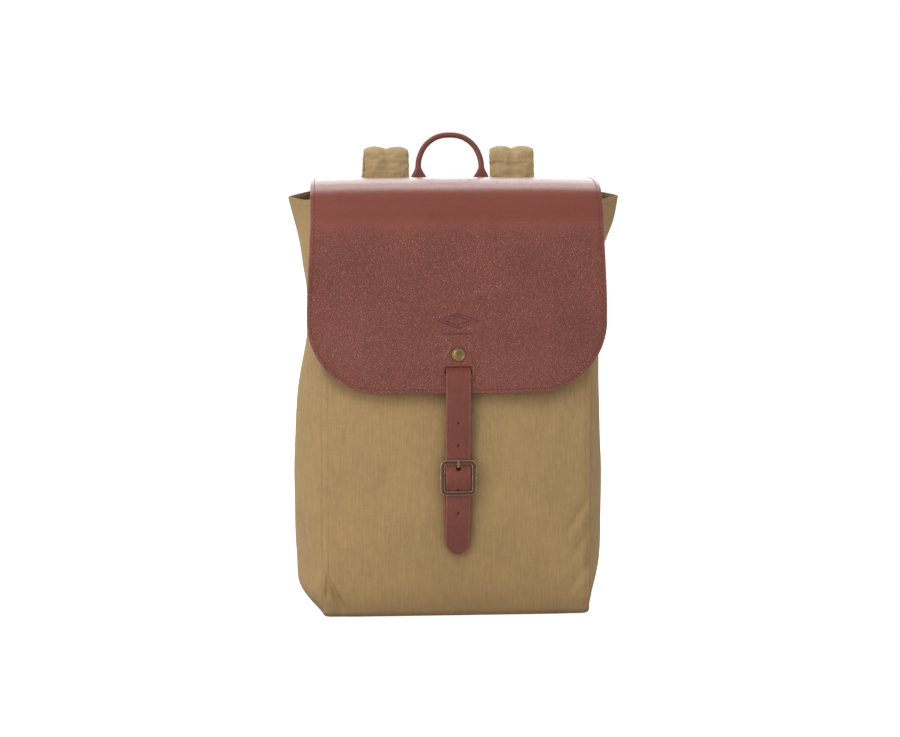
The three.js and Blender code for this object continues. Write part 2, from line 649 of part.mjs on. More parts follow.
// The webbing, its slider, the metal loop and the leather tab, drawn upright about the loop's upper bar.
const LOOP_RISE = 9; // between the loop's two bars
const LOOP_HALF_WIDTH = 15.5;
const WEBBING_TAIL = 46; // its folded end is sewn down over this length
const PAD_ENTRY = 8; // the webbing is sewn this far inside the pad's open end
function wireLoop() {
  const outline = roundedRectangle(LOOP_HALF_WIDTH + LOOP_ROD, LOOP_RISE / 2 + LOOP_ROD, 3);
  outline.holes.push(roundedRectangle(LOOP_HALF_WIDTH - LOOP_ROD, LOOP_RISE / 2 - LOOP_ROD, 1.2));
  const depth = 2 * LOOP_ROD;
  const ring = new THREE.ExtrudeGeometry(outline, { depth, bevelEnabled: false, curveSegments: 4 });
  return closed(ring).rotateX(Math.PI / 2).translate(0, LOOP_ROD, LOOP_RISE / 2);
}

const SLIDER_AT = 95; // height of the slider above the loop's lower bar
const SLIDER_HALF_HEIGHT = 11;
function slider(plane) {
  const outline = roundedRectangle(WEBBING_HALF_WIDTH + 4.2, SLIDER_HALF_HEIGHT, 3);
  outline.holes.push(roundedRectangle(WEBBING_HALF_WIDTH + 1, SLIDER_HALF_HEIGHT - 3, 1.5));
  const ring = new THREE.ExtrudeGeometry(outline, { depth: 2.2, bevelEnabled: false, curveSegments: 4 });
  const rear = plane + WEBBING / 2 + 0.5;
  const frame = closed(ring).rotateX(Math.PI / 2).translate(0, rear + 2.2, 0);
  const front = plane - WEBBING / 2 - 0.5;
  const reach = rear + 1 - (front - 2.2);
  const posts = [-1, 1].map((side) =>
    block(3, reach, 4).translate(side * (WEBBING_HALF_WIDTH + 2.6), front - 2.2 + reach / 2, 0),
  );
  const bar = block(2 * (WEBBING_HALF_WIDTH + 2.6), 2.2, 4).translate(0, front - 1.1, 0);
  return join(frame, ...posts, bar).translate(0, 0, SLIDER_AT);
}

const LOOP_TILT_ROOM = 0.7; // the tab's eye is wide enough for the loop to hang a little askew
function lowerStrap(side, name) {
  const lowerBar = LOWER_LOOP.clone().setX(side * LOWER_LOOP.x);
  const barRadius = LOOP_ROD * Math.SQRT2; // the square wire turns inside its eye
  const tab = foldedRoundBar(LOOP_HALF_WIDTH - LOOP_ROD - 0.6, barRadius + LOOP_TILT_ROOM, 1.3, 26);
  // The tab's two layers lie against the back panel, so the profile is turned to put its eye at the rear.
  add(`anchor_tab_${name}`, closed(tab.scale(1, -1, 1)), leather).position.copy(lowerBar);

  const plane = barRadius + 0.3 + WEBBING / 2; // the webbing passes this far behind the loop's middle
  const padEnd = padCurve.getPointAt(1);
  const along = padEnd.setX(side * padEnd.x).sub(lowerBar).sub(new THREE.Vector3(0, plane, 0));
  const top = along.length() + PAD_ENTRY;
  const up = along.normalize();
  const across = new THREE.Vector3(1, 0, 0).addScaledVector(up, -up.x).normalize();
  const rear = new THREE.Vector3().crossVectors(up, across);
  const run = new THREE.Group();
  run.position.copy(lowerBar);
  run.quaternion.setFromRotationMatrix(new THREE.Matrix4().makeBasis(across, rear, up));
  backpack.add(run);
  add(`lower_loop_${name}`, wireLoop(), brass, run);
  const fold = foldedRoundBar(WEBBING_HALF_WIDTH, barRadius, WEBBING, WEBBING_TAIL).scale(1, 1, -1);
  const foot = LOOP_RISE + WEBBING_TAIL - 4;
  const strip = block(2 * WEBBING_HALF_WIDTH, WEBBING, top - foot).translate(0, plane, (top + foot) / 2);
  add(`webbing_${name}`, join(closed(fold).translate(0, 0, LOOP_RISE), strip), webbingCloth, run);
  add(`slider_${name}`, slider(plane), brass, run);
}

for (const [side, name] of [
  [-1, "left"],
  [1, "right"],
]) {
  shoulderStrap(side, name);
  lowerStrap(side, name);
}

export default backpack;
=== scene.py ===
import json
import math

import bmesh
import bpy
import numpy as np
from mathutils import Matrix, Vector, kdtree


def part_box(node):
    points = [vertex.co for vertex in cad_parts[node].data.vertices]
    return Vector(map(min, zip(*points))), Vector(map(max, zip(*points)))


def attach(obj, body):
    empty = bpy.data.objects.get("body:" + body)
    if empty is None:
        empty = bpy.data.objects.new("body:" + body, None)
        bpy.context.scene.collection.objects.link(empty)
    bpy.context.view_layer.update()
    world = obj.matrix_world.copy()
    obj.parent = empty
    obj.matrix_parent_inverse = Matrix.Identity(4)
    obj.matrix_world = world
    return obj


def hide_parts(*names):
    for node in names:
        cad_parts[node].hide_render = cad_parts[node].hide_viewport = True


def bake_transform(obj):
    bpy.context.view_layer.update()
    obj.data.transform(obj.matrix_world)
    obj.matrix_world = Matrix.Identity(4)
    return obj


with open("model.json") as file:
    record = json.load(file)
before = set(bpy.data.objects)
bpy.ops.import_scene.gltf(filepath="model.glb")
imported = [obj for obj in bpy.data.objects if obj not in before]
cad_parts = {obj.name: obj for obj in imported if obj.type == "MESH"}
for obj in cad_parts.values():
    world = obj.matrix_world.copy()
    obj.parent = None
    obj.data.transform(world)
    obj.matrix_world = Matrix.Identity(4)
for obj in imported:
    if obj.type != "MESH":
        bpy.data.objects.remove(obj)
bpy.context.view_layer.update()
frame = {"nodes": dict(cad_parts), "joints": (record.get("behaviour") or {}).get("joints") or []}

MM = 0.001  # a millimetre in metres: shapes are worked out in millimetres and stored in metres
PI = math.pi
span = np.linspace


def box(node):
    lo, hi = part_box(node)
    return np.array(lo) / MM, np.array(hi) / MM


# ---------------------------------------------------------------- small maths
def arr(*v):
    return np.array(v, float)


def points(x, y, z):
    return np.stack(np.broadcast_arrays(x, y, z), -1)


def lerp(a, b, t):
    return a + (b - a) * t


def smooth(x, a, b):
    t = np.clip((np.asarray(x, float) - a) / (b - a), 0, 1)
    return t * t * (3 - 2 * t)


def bump_at(x, centre, width):
    return np.exp(-(((x - centre) / width) ** 2))


def unit(v):
    return v / np.maximum(np.linalg.norm(v, axis=-1, keepdims=True), 1e-9)


def superellipse(a, power_u, power_v):
    """A rounded box's outline of half size 1, at the angles a. Smaller powers are squarer."""
    c, s = np.cos(a), np.sin(a)
    return np.sign(c) * np.abs(c) ** power_u, np.sign(s) * np.abs(s) ** power_v


def turns(n, whole=2 * PI):
    return np.linspace(0, whole, n, endpoint=False)


def lengths(p):
    """The distance along the points p at each of them."""
    return np.concatenate([[0], np.cumsum(np.linalg.norm(np.diff(p, axis=0), axis=1))])


def polyline(corners, per_side):
    """The two coordinates of points spread along each side of a plane line."""
    pairs = list(zip(corners[:-1], corners[1:]))
    return [np.concatenate([span(p[k], q[k], per_side) for p, q in pairs]) for k in (0, 1)]


def ripple(a, b, seed, size, stretch=1.0):
    """Soft seeded waves over a surface, between about -1 and 1. size is in millimetres."""
    rng = np.random.default_rng(seed)
    total = 0
    for _ in range(7):
        angle, phase = rng.uniform(0, 2 * PI, 2)
        k = 2 * PI / size * rng.uniform(0.5, 1.6)
        total = total + np.sin(k * (a * math.cos(angle) + b * math.sin(angle) * stretch) + phase)
    return total / 4


class Path:
    """A centripetal Catmull-Rom curve through points, sampled by arc length."""

    def __init__(self, through, samples=600):
        p = np.asarray(through, float)
        ext = np.vstack([2 * p[0] - p[1], p, 2 * p[-1] - p[-2]])
        knots = [0.0]
        for a, b in zip(ext[:-1], ext[1:]):
            knots.append(knots[-1] + math.sqrt(max(np.linalg.norm(b - a), 1e-6)))
        out = []
        per = max(4, samples // (len(p) - 1))
        for i in range(1, len(ext) - 2):
            p0, p1, p2, p3 = ext[i - 1 : i + 3]
            t0, t1, t2, t3 = knots[i - 1 : i + 3]
            t = span(t1, t2, per, endpoint=False)[:, None]
            between = lambda a, b, start, end: ((end - t) * a + (t - start) * b) / (end - start)
            a1, a2, a3 = between(p0, p1, t0, t1), between(p1, p2, t1, t2), between(p2, p3, t2, t3)
            out.append(between(between(a1, a2, t0, t2), between(a2, a3, t1, t3), t1, t2))
        self.p = np.vstack(out + [p[-1:]])
        self.s = lengths(self.p)
        self.length = self.s[-1]

    def at(self, s):
        s = np.asarray(s, float)
        return np.stack([np.interp(s, self.s, self.p[:, k]) for k in range(self.p.shape[1])], -1)

    def tangent(self, s, e=0.8):
        s = np.asarray(s, float)
        a, b = np.clip(s - e, 0, self.length), np.clip(s + e, 0, self.length)
        return unit(self.at(b) - self.at(a))


# ---------------------------------------------------------------- mesh building
FAR_FROM_EDGE = 9.0


def placed(name, data):
    o = bpy.data.objects.new(name, data)
    bpy.context.scene.collection.objects.link(o)
    return o


def mesh(name, verts, faces, mat, uvs=None, edge=None):
    """verts are in millimetres. uvs and edge, the distance to a sheet's cut edge, are given per vertex."""
    me = bpy.data.meshes.new(name)
    me.from_pydata((np.asarray(verts) * MM).tolist(), [], faces)
    me.update()
    if uvs is not None:
        layer = me.uv_layers.new(name="cloth")
        loop = np.empty(len(me.loops), np.int32)
        me.loops.foreach_get("vertex_index", loop)
        layer.data.foreach_set("uv", np.asarray(uvs, np.float32)[loop].ravel())
    if edge is not None:
        distance = me.attributes.new("edge", "FLOAT", "POINT")
        distance.data.foreach_set("value", np.asarray(edge, np.float32))
    me.polygons.foreach_set("use_smooth", np.ones(len(me.polygons), bool))
    me.validate()
    me.materials.append(mat)
    return placed(name, me)


def fix_normals(o):
    bm = bmesh.new()
    bm.from_mesh(o.data)
    bmesh.ops.recalc_face_normals(bm, faces=bm.faces)
    bm.to_mesh(o.data)
    bm.free()
    return o


def joined(name, *objs):
    bpy.ops.object.select_all(action="DESELECT")
    for o in objs:
        o.select_set(True)
    bpy.context.view_layer.objects.active = objs[0]
    bpy.ops.object.join()
    objs[0].name = name
    return objs[0]


def normals_of(f, A, B, side=1, e=0.6):
    da = f(A + e, B) - f(A - e, B)
    db = f(A, B + e) - f(A, B - e)
    return unit(np.cross(da, db)) * side


def sheet(name, f, A, B, thick, mat, side=1, rim=4, uv=None, hole=None, lift=None):
    """A closed sheet with a rounded rim. f(A, B) is the outer face and side turns its normal outwards.
    hole(P) is true for faces left out, and the cut is closed through the thickness."""
    P = f(A, B)
    N = normals_of(f, A, B, side)
    if lift is not None:
        P = P + N * lift[..., None]
    m, n = P.shape[:2]
    count = m * n
    idx = np.arange(count).reshape(m, n)
    keep = np.ones((m - 1, n - 1), bool) if hole is None else ~hole((P[:-1, :-1] + P[1:, 1:]) / 2)
    cells = np.stack([idx[:-1, :-1], idx[:-1, 1:], idx[1:, 1:], idx[1:, :-1]], -1)
    faces = np.stack([cells[keep], cells[keep][:, ::-1] + count], 1).reshape(-1, 4).tolist()
    for i, j in np.argwhere(~keep):
        a, b, c, d = cells[i, j]
        for di, dj, u, v in ((-1, 0, a, b), (1, 0, c, d), (0, -1, d, a), (0, 1, b, c)):
            if 0 <= i + di < m - 1 and 0 <= j + dj < n - 1 and keep[i + di, j + dj]:
                faces.append([u, v, v + count, u + count])

    ring = np.concatenate([idx[0], idx[1:, -1], idx[-1, -2::-1], idx[-2:0:-1, 0]])
    next_in = np.pad(idx[1:-1, 1:-1], 1, mode="edge").ravel()[ring]
    P, Q = P.reshape(-1, 3), (P - N * thick).reshape(-1, 3)
    base, under = P[ring], Q[ring]
    up = unit(base - under)
    out = base - P[next_in]
    out = unit(out - (out * up).sum(1, keepdims=True) * up)
    half = np.linalg.norm(base - under, axis=1, keepdims=True) / 2
    verts, rings = [P, Q], [ring]
    for k in range(1, rim):
        turn = PI * k / rim
        verts.append((base + under) / 2 + up * half * math.cos(turn) + out * half * math.sin(turn))
        rings.append(2 * count + (k - 1) * len(ring) + np.arange(len(ring)))
    rings.append(ring + count)
    for a, b in zip(rings[:-1], rings[1:]):
        faces += np.stack([np.roll(a, -1), a, b, np.roll(b, -1)], -1).tolist()

    U = (np.stack(np.broadcast_arrays(A, B), -1) if uv is None else uv).reshape(-1, 2)
    tree = kdtree.KDTree(len(base))
    for k, p in enumerate(base):
        tree.insert(p, k)
    tree.balance()
    edge = [tree.find(p)[2] for p in P]
    edge = np.concatenate([edge, edge, np.full((rim - 1) * len(ring), -0.5)])
    uvs = np.vstack([U, U] + [U[ring]] * (rim - 1))
    return fix_normals(mesh(name, np.vstack(verts), faces, mat, uvs, edge))


def ring_faces(m, n, loop=False):
    """The faces that join m rings of n points each, with flat ends unless the rings close on themselves."""
    idx = np.arange(m * n).reshape(m, n)
    down = np.vstack([idx, idx[:1]]) if loop else idx
    right = np.roll(down, -1, axis=1)
    faces = np.stack([down[:-1], right[:-1], right[1:], down[1:]], -1).reshape(-1, 4).tolist()
    return faces if loop else faces + [idx[0, ::-1].tolist(), idx[-1].tolist()]


def loft(name, rings, mat, loop=False):
    """A skin through closed rings of points."""
    rings = np.asarray(rings, float)
    m, n = rings.shape[:2]
    around = np.cumsum(np.linalg.norm(rings - np.roll(rings, 1, axis=1), axis=2), axis=1)
    along = np.repeat(lengths(rings.mean(1))[:, None], n, 1)
    uvs = np.stack([around, along], -1).reshape(-1, 2)
    edge = np.full(m * n, FAR_FROM_EDGE)
    return fix_normals(mesh(name, rings.reshape(-1, 3), ring_faces(m, n, loop), mat, uvs, edge))


def tube(name, line, radius, mat, sides=12, up=(0, 0, 1)):
    """A round rod along a line. radius is a number or one value per point."""
    line = np.asarray(line, float)
    ref = np.array(up, float)
    a = turns(sides)[:, None]
    rings = []
    for p, d, r in zip(line, unit(np.gradient(line, axis=0)), np.broadcast_to(radius, len(line))):
        x = ref - d * (ref @ d)
        x = x / np.linalg.norm(x)
        ref = x
        rings.append(p + r * (x * np.cos(a) + np.cross(d, x) * np.sin(a)))
    return loft(name, rings, mat)


def revolve(name, profile, mat, centre, sides=48):
    """A turned piece on a line towards the front. profile holds radii with their distances forward."""
    a = turns(sides)
    return loft(name, [centre + points(r * np.cos(a), -h, r * np.sin(a)) for r, h in profile], mat)


def rounded_loop(hx, hz, r, corner_points=10, spread=96):
    """Points spread evenly round a rectangle with rounded corners."""
    corners = []
    for cx, cz, a0 in ((hx - r, hz - r, 0), (r - hx, hz - r, 1), (r - hx, r - hz, 2), (hx - r, r - hz, 3)):
        for k in range(corner_points + 1):
            a = (a0 + k / corner_points) * PI / 2
            corners.append((cx + r * math.cos(a), cz + r * math.sin(a)))
    closed = np.array(corners + corners[:1])
    s = lengths(closed)
    t = span(0, s[-1], spread + 1)[:-1]
    return np.stack([np.interp(t, s, closed[:, 0]), np.interp(t, s, closed[:, 1])], -1)


def band(name, loop_xz, half_w, half_t, y, mat, bend=None, sides=12, sharp=0.6):
    """A flat bar with softened edges swept round a closed loop in the (x, z) plane."""
    t = unit(np.roll(loop_xz, -1, 0) - np.roll(loop_xz, 1, 0))
    u, v = superellipse(turns(sides), sharp, sharp)
    rings = []
    for (x0, z0), (tx, tz) in zip(loop_xz, t):
        x, z = x0 + tz * u * half_w, z0 - tx * u * half_w
        rings.append(points(x, y + v * half_t + (bend(x, z) if bend else 0), z))
    return loft(name, rings, mat, loop=True)


# one stitch from its middle to its end: place along it, thickness, height
HALF_STITCH = [(0.2, 1.0, 0.75), (0.42, 0.8, 0.1), (0.5, 0.15, -0.6)]
STITCH = [(-along, wide, high) for along, wide, high in HALF_STITCH[::-1]] + HALF_STITCH
STITCH_SIDES = 6


def stitches(name, line, nrm, mat, pitch=4.6, length=3.4, radius=0.42, lift=0.25):
    """One mesh of thread stitches along a line that lies on a surface with the normals nrm."""
    line, nrm = np.asarray(line, float), unit(np.asarray(nrm, float))
    s = lengths(line)
    count = max(1, int(s[-1] / pitch))
    at = lambda q, values: np.array([np.interp(q, s, values[:, i]) for i in range(3)])
    a = turns(STITCH_SIDES)[:, None]
    one = ring_faces(len(STITCH), STITCH_SIDES)
    verts, faces = [], []
    for k in range(count):
        c = (k + 0.5) * s[-1] / count
        p, n = at(c, line), unit(at(c, nrm))
        d = unit(at(min(c + 1, s[-1]), line) - at(max(c - 1, 0), line))
        around = np.cross(n, d) * np.cos(a) + n * np.sin(a)
        first = k * len(STITCH) * STITCH_SIDES
        for along, wide, high in STITCH:
            verts.append(p + d * along * length + n * (lift * high) + radius * wide * around)
        faces += [[v + first for v in face] for face in one]
    return mesh(name, np.vstack(verts), faces, mat)


def seam(name, f, A, B, side, thread, **form):
    """Stitches along a line drawn on the face f."""
    A, B = np.broadcast_arrays(A, B)
    return stitches(name, f(A, B), normals_of(f, A, B, side), thread, **form)


def skin(node, finish, f, a, b, thick, mat, side, **form):
    """A sheet over the grid of a and b that stands for a CAD node."""
    cover = sheet(node + "_" + finish, f, *np.meshgrid(a, b), thick, mat, side=side, **form)
    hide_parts(node)
    return cover


def ride(body, slot, *pieces):
    for o in pieces:
        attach(o, body)


def blend(a, b, start, end, slot, *pieces):
    """Bakes each piece's transform into its mesh. The bodies a and b are not used; start and end are in
    millimetres and change nothing.
    """
    for o in pieces:
        MM * arr(*start)
        MM * arr(*end)
        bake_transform(o)


# ---------------------------------------------------------------- materials
MARK_AT = 226.0  # length of leather from the flap's rear seam to the middle of its pressed mark
FOLD_END = 122.0  # length of leather from the rear seam to the end of the front fold
PER_METRE = 1000


class Nodes:
    """A procedural material. A value given to a node's input may be a number or another node's output."""

    def __init__(self, name):
        self.mat = bpy.data.materials.new(name)
        self.mat.use_nodes = True
        self.t = self.mat.node_tree
        self.t.nodes.clear()
        self.bsdf = self.add("BsdfPrincipled")
        self.t.links.new(self.bsdf.outputs[0], self.add("OutputMaterial").inputs[0])

    def add(self, kind, **props):
        n = self.t.nodes.new("ShaderNode" + kind)
        for k, v in props.items():
            setattr(n, k, v)
        return n

    def set(self, node, **values):
        """Inputs are named, or numbered as in _0."""
        for k, v in values.items():
            title = k.replace("_", " ")
            s = node.inputs[title] if title in node.inputs else node.inputs[int(k[1:])]
            if isinstance(v, bpy.types.NodeSocket):
                self.t.links.new(v, s)
            else:
                s.default_value = v
        return node

    def maths(self, op, a, b=0.0, c=0.0):
        return self.set(self.add("Math", operation=op), _0=a, _1=b, _2=c).outputs[0]

    def plus(self, a, b):
        return self.maths("ADD", a, b)

    def minus(self, a, b):
        return self.maths("SUBTRACT", a, b)

    def times(self, a, b):
        return self.maths("MULTIPLY", a, b)

    def times_plus(self, a, b, c):
        return self.maths("MULTIPLY_ADD", a, b, c)

    def size_of(self, a):
        return self.maths("ABSOLUTE", a)

    def ramp(self, value, a, b, lo=0.0, hi=1.0):
        n = self.add("MapRange", interpolation_type="SMOOTHSTEP")
        return self.set(n, Value=value, From_Min=a, From_Max=b, To_Min=lo, To_Max=hi).outputs[0]

    def scaled(self, vector, x, y, z=1.0):
        return self.set(self.add("Mapping"), Vector=vector, Scale=(x, y, z)).outputs[0]

    def noise(self, vector, scale, detail=3.0, rough=0.55):
        """scale is a number, or one per axis."""
        if isinstance(scale, tuple):
            vector, scale = self.scaled(vector, *scale), 1.0
        n = self.add("TexNoise")
        return self.set(n, Vector=vector, Scale=scale, Detail=detail, Roughness=rough).outputs[0]

    def mix(self, f, a, b):
        return self.set(self.add("Mix", data_type="RGBA"), _0=f, _6=a, _7=b).outputs[2]

    def bump(self, height, strength, distance, *normal):
        n = self.set(self.add("Bump"), Height=height, Strength=strength, Distance=distance)
        for before in normal:
            self.set(n, Normal=before)
        return n.outputs[0]

    def parts(self, vector):
        return self.set(self.add("SeparateXYZ"), Vector=vector).outputs

    def uv(self):
        """The cloth's own coordinates, in millimetres."""
        return self.add("UVMap", uv_map="cloth").outputs[0]

    def object(self):
        """The place in space, in millimetres."""
        return self.scaled(self.add("TexCoord").outputs["Object"], PER_METRE, PER_METRE, PER_METRE)

    def edge(self):
        return self.add("Attribute", attribute_name="edge").outputs["Fac"]


def rgb(r, g, b):
    f = lambda c: ((c / 255 + 0.055) / 1.055) ** 2.4 if c > 10 else c / 255 / 12.92
    return (f(r), f(g), f(b), 1.0)


def shaded(color, *k):
    """A darker colour, by one factor or by one for each channel."""
    k = k if len(k) == 3 else k * 3
    return tuple(c * q for c, q in zip(color[:3], k)) + (1,)


def canvas_material(name, color, depth=0.74, rib=1.0, object_space=False, occlusion_shade=0.0):
    """Ribbed cotton: uneven ribs along v, thinner lines across, fluff, and slow changes of tone and hue, with
    painted shade along its seams and, if asked, painted shade in hollows such as under the flap.
    """
    rib_pitch, weft_pitch = 1.3, 0.9
    m = Nodes(name)
    uv = m.object() if object_space else m.uv()
    u, v = m.parts(uv)[:2]
    wander = m.times(m.noise(uv, (0.03, 0.03), 2.0), 6.0)
    ribs = m.maths("SINE", m.times_plus(u, 2 * PI / rib_pitch, wander))
    weft = m.maths("SINE", m.times_plus(v, 2 * PI / weft_pitch, wander))
    uneven = m.noise(uv, (1.0, 0.03), 3.0, 0.75)
    cross = m.noise(uv, (0.05, 0.7), 3.0, 0.7)
    broad = m.noise(uv, (0.011, 0.011), 3.0, 0.5)
    hue = m.noise(uv, (0.026, 0.019), 2.0, 0.5)
    fuzz = m.noise(uv, (1.1, 1.1), 4.0, 0.7)
    mottle = m.noise(uv, (0.16, 0.1), 4.0, 0.6)
    tone = m.times(cross, 0.14)
    for layer, share in ((uneven, 0.42), (broad, 0.14), (mottle, 0.22), (fuzz, 0.22), (ribs, 0.05 * rib)):
        tone = m.times_plus(layer, share, tone)
    col = m.mix(m.ramp(tone, 0.42, 0.74), shaded(color, depth), color)
    col = m.mix(m.ramp(hue, 0.40, 0.64, 0.0, 0.2), col, shaded(color, 1.04, 0.98, 0.84))
    shade = shaded(color, 0.42)
    # painted shade along the cloth's cut edges, deepest on their rounded rims: in the seams and at the mouth's
    # hem
    col = m.mix(m.ramp(m.edge(), 0.2, 1.8, 0.28, 0.0), col, shade)
    # painted shade in hollows, from ambient occlusion: under the flap's edge and beside the strap and buckle
    if occlusion_shade:
        hollow = m.set(m.add("AmbientOcclusion", samples=4), Distance=0.035).outputs["AO"]
        col = m.mix(m.ramp(hollow, 0.4, 0.95, occlusion_shade, 0.0), col, shade)
    h = m.plus(m.times(ribs, 0.5 * rib), m.times(weft, 0.25 * rib))
    h = m.times_plus(fuzz, 1.0, m.times_plus(uneven, 2.2, h))
    m.set(m.bsdf, Base_Color=col, Roughness=0.93, Specular_IOR_Level=0.15,
          Sheen_Weight=0.12, Sheen_Roughness=0.5, Sheen_Tint=(1, 0.9, 0.75, 1),
          Normal=m.bump(broad, 0.2, 0.004, m.bump(h, 0.3, 0.0005)))
    return m.mat


def leather_material(name, color, dark, light, grain=1.0, rough=0.42, coat=0.1, stitch_line=None, mark=False):
    """Pebbled, waxed leather: dark between the pebbles, glossier on them, with painted glints on their tops,
    lighter along its cut edge, and with the mark a painted shade over the top and the fold.
    """
    pebble_size = 1.6
    some = min(1.0, grain)
    m = Nodes(name)
    p = m.object()
    drift = m.set(m.add("TexNoise"), Vector=p, Scale=0.45, Detail=2.0).outputs["Color"]
    drift = m.set(m.add("VectorMath", operation="SCALE"), _0=drift, Scale=1.8).outputs[0]
    warped = m.set(m.add("VectorMath", operation="ADD"), _0=m.scaled(p, 1.0, 1.0, 0.62), _1=drift).outputs[0]
    cells = m.set(m.add("TexVoronoi", feature="DISTANCE_TO_EDGE"), Vector=warped, Scale=1 / pebble_size)
    pebble = m.ramp(cells.outputs["Distance"], 0.0, 0.26)
    grain_and_fold_shade = fold_smoothing_and_shade(m) if mark else 1.0
    fine = m.noise(m.scaled(p, 1.0, 1.0, 0.6), 1.9, 3.0, 0.65)
    streak = m.noise(p, (0.55, 0.55, 0.2), 3.0, 0.7)
    broad = m.noise(p, 0.014, 3.0, 0.5)
    mid = m.noise(p, 0.12, 3.0, 0.5)
    tone = m.times_plus(streak, 0.45 * some, m.times_plus(broad, 0.7, m.times(mid, 0.2)))
    col = m.mix(m.ramp(tone, 0.4, 0.95), dark, color)
    deep = shaded(dark, 0.55)
    col = m.mix(m.times(m.minus(1.0, pebble), m.times(grain_and_fold_shade, 0.6 * some)), col, deep)
    # painted glints on the pebble tops, fewer over the fold
    painted_glint = m.times(m.ramp(fine, 0.50, 0.66, 0.0, 0.62 * some), m.times(pebble, grain_and_fold_shade))
    col = m.mix(painted_glint, col, light)
    worn = m.times(m.ramp(m.edge(), -0.4, 0.6, 0.4, 0.0), m.ramp(mid, 0.25, 0.65, 0.5, 1.0))
    col = m.mix(worn, col, light)
    if mark:
        # painted shade over the top and the fold of the flap, switched on with the mark
        col = m.mix(m.times_plus(grain_and_fold_shade, -0.9, 0.9), col, shaded(dark, 0.78))
        sunk = sunk_mark(m)
        col = m.mix(m.times(sunk, 0.6), col, deep)
    r = m.times_plus(fine, 0.1, m.times_plus(mid, 0.12, rough - 0.06))
    r = m.times_plus(pebble, -0.10 * some, r)
    n = m.bump(m.times_plus(fine, 0.5, pebble), m.times(grain_and_fold_shade, 0.75 * grain), 0.0009)
    if stitch_line is not None:
        groove = m.size_of(m.minus(m.edge(), stitch_line))
        n = m.bump(m.ramp(groove, 0.0, 0.6), 0.3, 0.0004, n)
    if mark:
        n = m.bump(m.minus(1.0, sunk), 0.9, 0.0008, n)
    m.set(m.bsdf, Base_Color=col, Roughness=r, Specular_IOR_Level=0.5, Coat_Weight=coat, Coat_Roughness=0.3,
          Normal=m.bump(mid, 0.12, 0.002, n))
    return m.mat


def sunk_mark(m):
    """A plain mark pressed in the flap: one lozenge outline in another, over a short bar."""
    half_wide, half_high = 19.0, 7.0
    across, along = m.parts(m.uv())[:2]
    x, down = m.size_of(across), m.minus(along, MARK_AT)
    q = m.times_plus(m.size_of(down), 1 / half_high, m.times(x, 1 / half_wide))
    line = lambda at, wide: m.ramp(m.size_of(m.minus(q, at)), wide * 0.4, wide, 1.0, 0.0)
    both = m.maths("MAXIMUM", line(1.0, 0.10), line(0.6, 0.11))
    bar = m.times(m.ramp(m.size_of(m.minus(down, 12.0)), 0.5, 1.1, 1.0, 0.0), m.ramp(x, 12.0, 15.0, 1.0, 0.0))
    return m.maths("MAXIMUM", both, bar)


def fold_smoothing_and_shade(m):
    """Near 0 where the leather is pulled smooth over the fold and 1 where its grain stands up. Where it is near
    0 the leather also gets a painted shade.
    """
    return m.ramp(m.parts(m.uv())[1], FOLD_END, FOLD_END + 28.0, 0.12, 1.0)


def thread_material(name, color):
    m = Nodes(name)
    twist = m.noise(m.object(), 3.0, 2.0)
    col = m.mix(m.ramp(twist, 0.3, 0.7), shaded(color, 0.6), color)
    m.set(m.bsdf, Base_Color=col, Roughness=0.75, Normal=m.bump(twist, 0.4, 0.0002))
    return m.mat


def brass_material(name, bright, face, dark, rough=0.34):
    """Antiqued brass: a browned face, bright on its rounded edges as rubbed wear and painted highlight, nearly
    black in the pits.
    """
    m = Nodes(name)
    p = m.object()
    patina = m.noise(p, 0.5, 5.0, 0.65)
    spots = m.noise(p, 1.8, 3.0, 0.6)
    turned = m.minus(1.0, m.size_of(m.parts(m.add("TexCoord").outputs["Normal"])[1]))
    # rubbed wear and painted highlight on the rounded edges, which turn away from the front and back
    rub_and_highlight = m.times(m.ramp(turned, 0.06, 0.26), m.ramp(patina, 0.3, 0.55, 0.5, 1.0))
    col = m.mix(m.ramp(spots, 0.34, 0.5, 0.75, 0.0), m.mix(rub_and_highlight, face, bright), dark)
    m.set(m.bsdf, Base_Color=col, Metallic=1.0, Roughness=m.times_plus(spots, 0.25, rough - 0.1),
          Normal=m.bump(m.plus(patina, spots), 0.15, 0.0004))
    return m.mat


EDGE_TO_STITCHES = 3.2
CANVAS = canvas_material("canvas", rgb(177, 146, 102), depth=0.70, occlusion_shade=0.9)
CANVAS_BACK = canvas_material("canvas_back", rgb(174, 145, 102))
PAD_CANVAS = canvas_material("pad_canvas", rgb(178, 153, 114))
COTTON = canvas_material("cotton", rgb(128, 100, 76), rib=0.5)
WEBBING = canvas_material("webbing", rgb(166, 138, 96), depth=0.6, rib=2.5)
LEATHER = leather_material("leather", rgb(144, 74, 56), rgb(120, 53, 37), rgb(184, 120, 100),
                           rough=0.38, coat=0.4, stitch_line=EDGE_TO_STITCHES)
FLAP_LEATHER = leather_material("flap_leather", rgb(148, 75, 58), rgb(122, 54, 39), rgb(190, 142, 132),
                                rough=0.34, coat=0.4, stitch_line=EDGE_TO_STITCHES, mark=True)
STRAP_LEATHER = leather_material("strap_leather", rgb(130, 66, 48), rgb(110, 49, 34), rgb(172, 110, 90),
                                 grain=0.3, rough=0.4)
ROLL_LEATHER = leather_material("roll_leather", rgb(140, 78, 66), rgb(114, 56, 46), rgb(178, 124, 110),
                                grain=0.06, rough=0.36, coat=0.3)
SUEDE = leather_material("suede", rgb(142, 102, 74), rgb(114, 78, 54), rgb(152, 112, 84),
                         grain=0.3, rough=0.9, coat=0.0)
THREAD = thread_material("thread_tan", rgb(176, 148, 104))
THREAD_DARK = thread_material("thread_brown", rgb(122, 64, 50))
BRASS = brass_material("antique_brass", rgb(220, 200, 154), rgb(148, 124, 82), rgb(56, 44, 30))
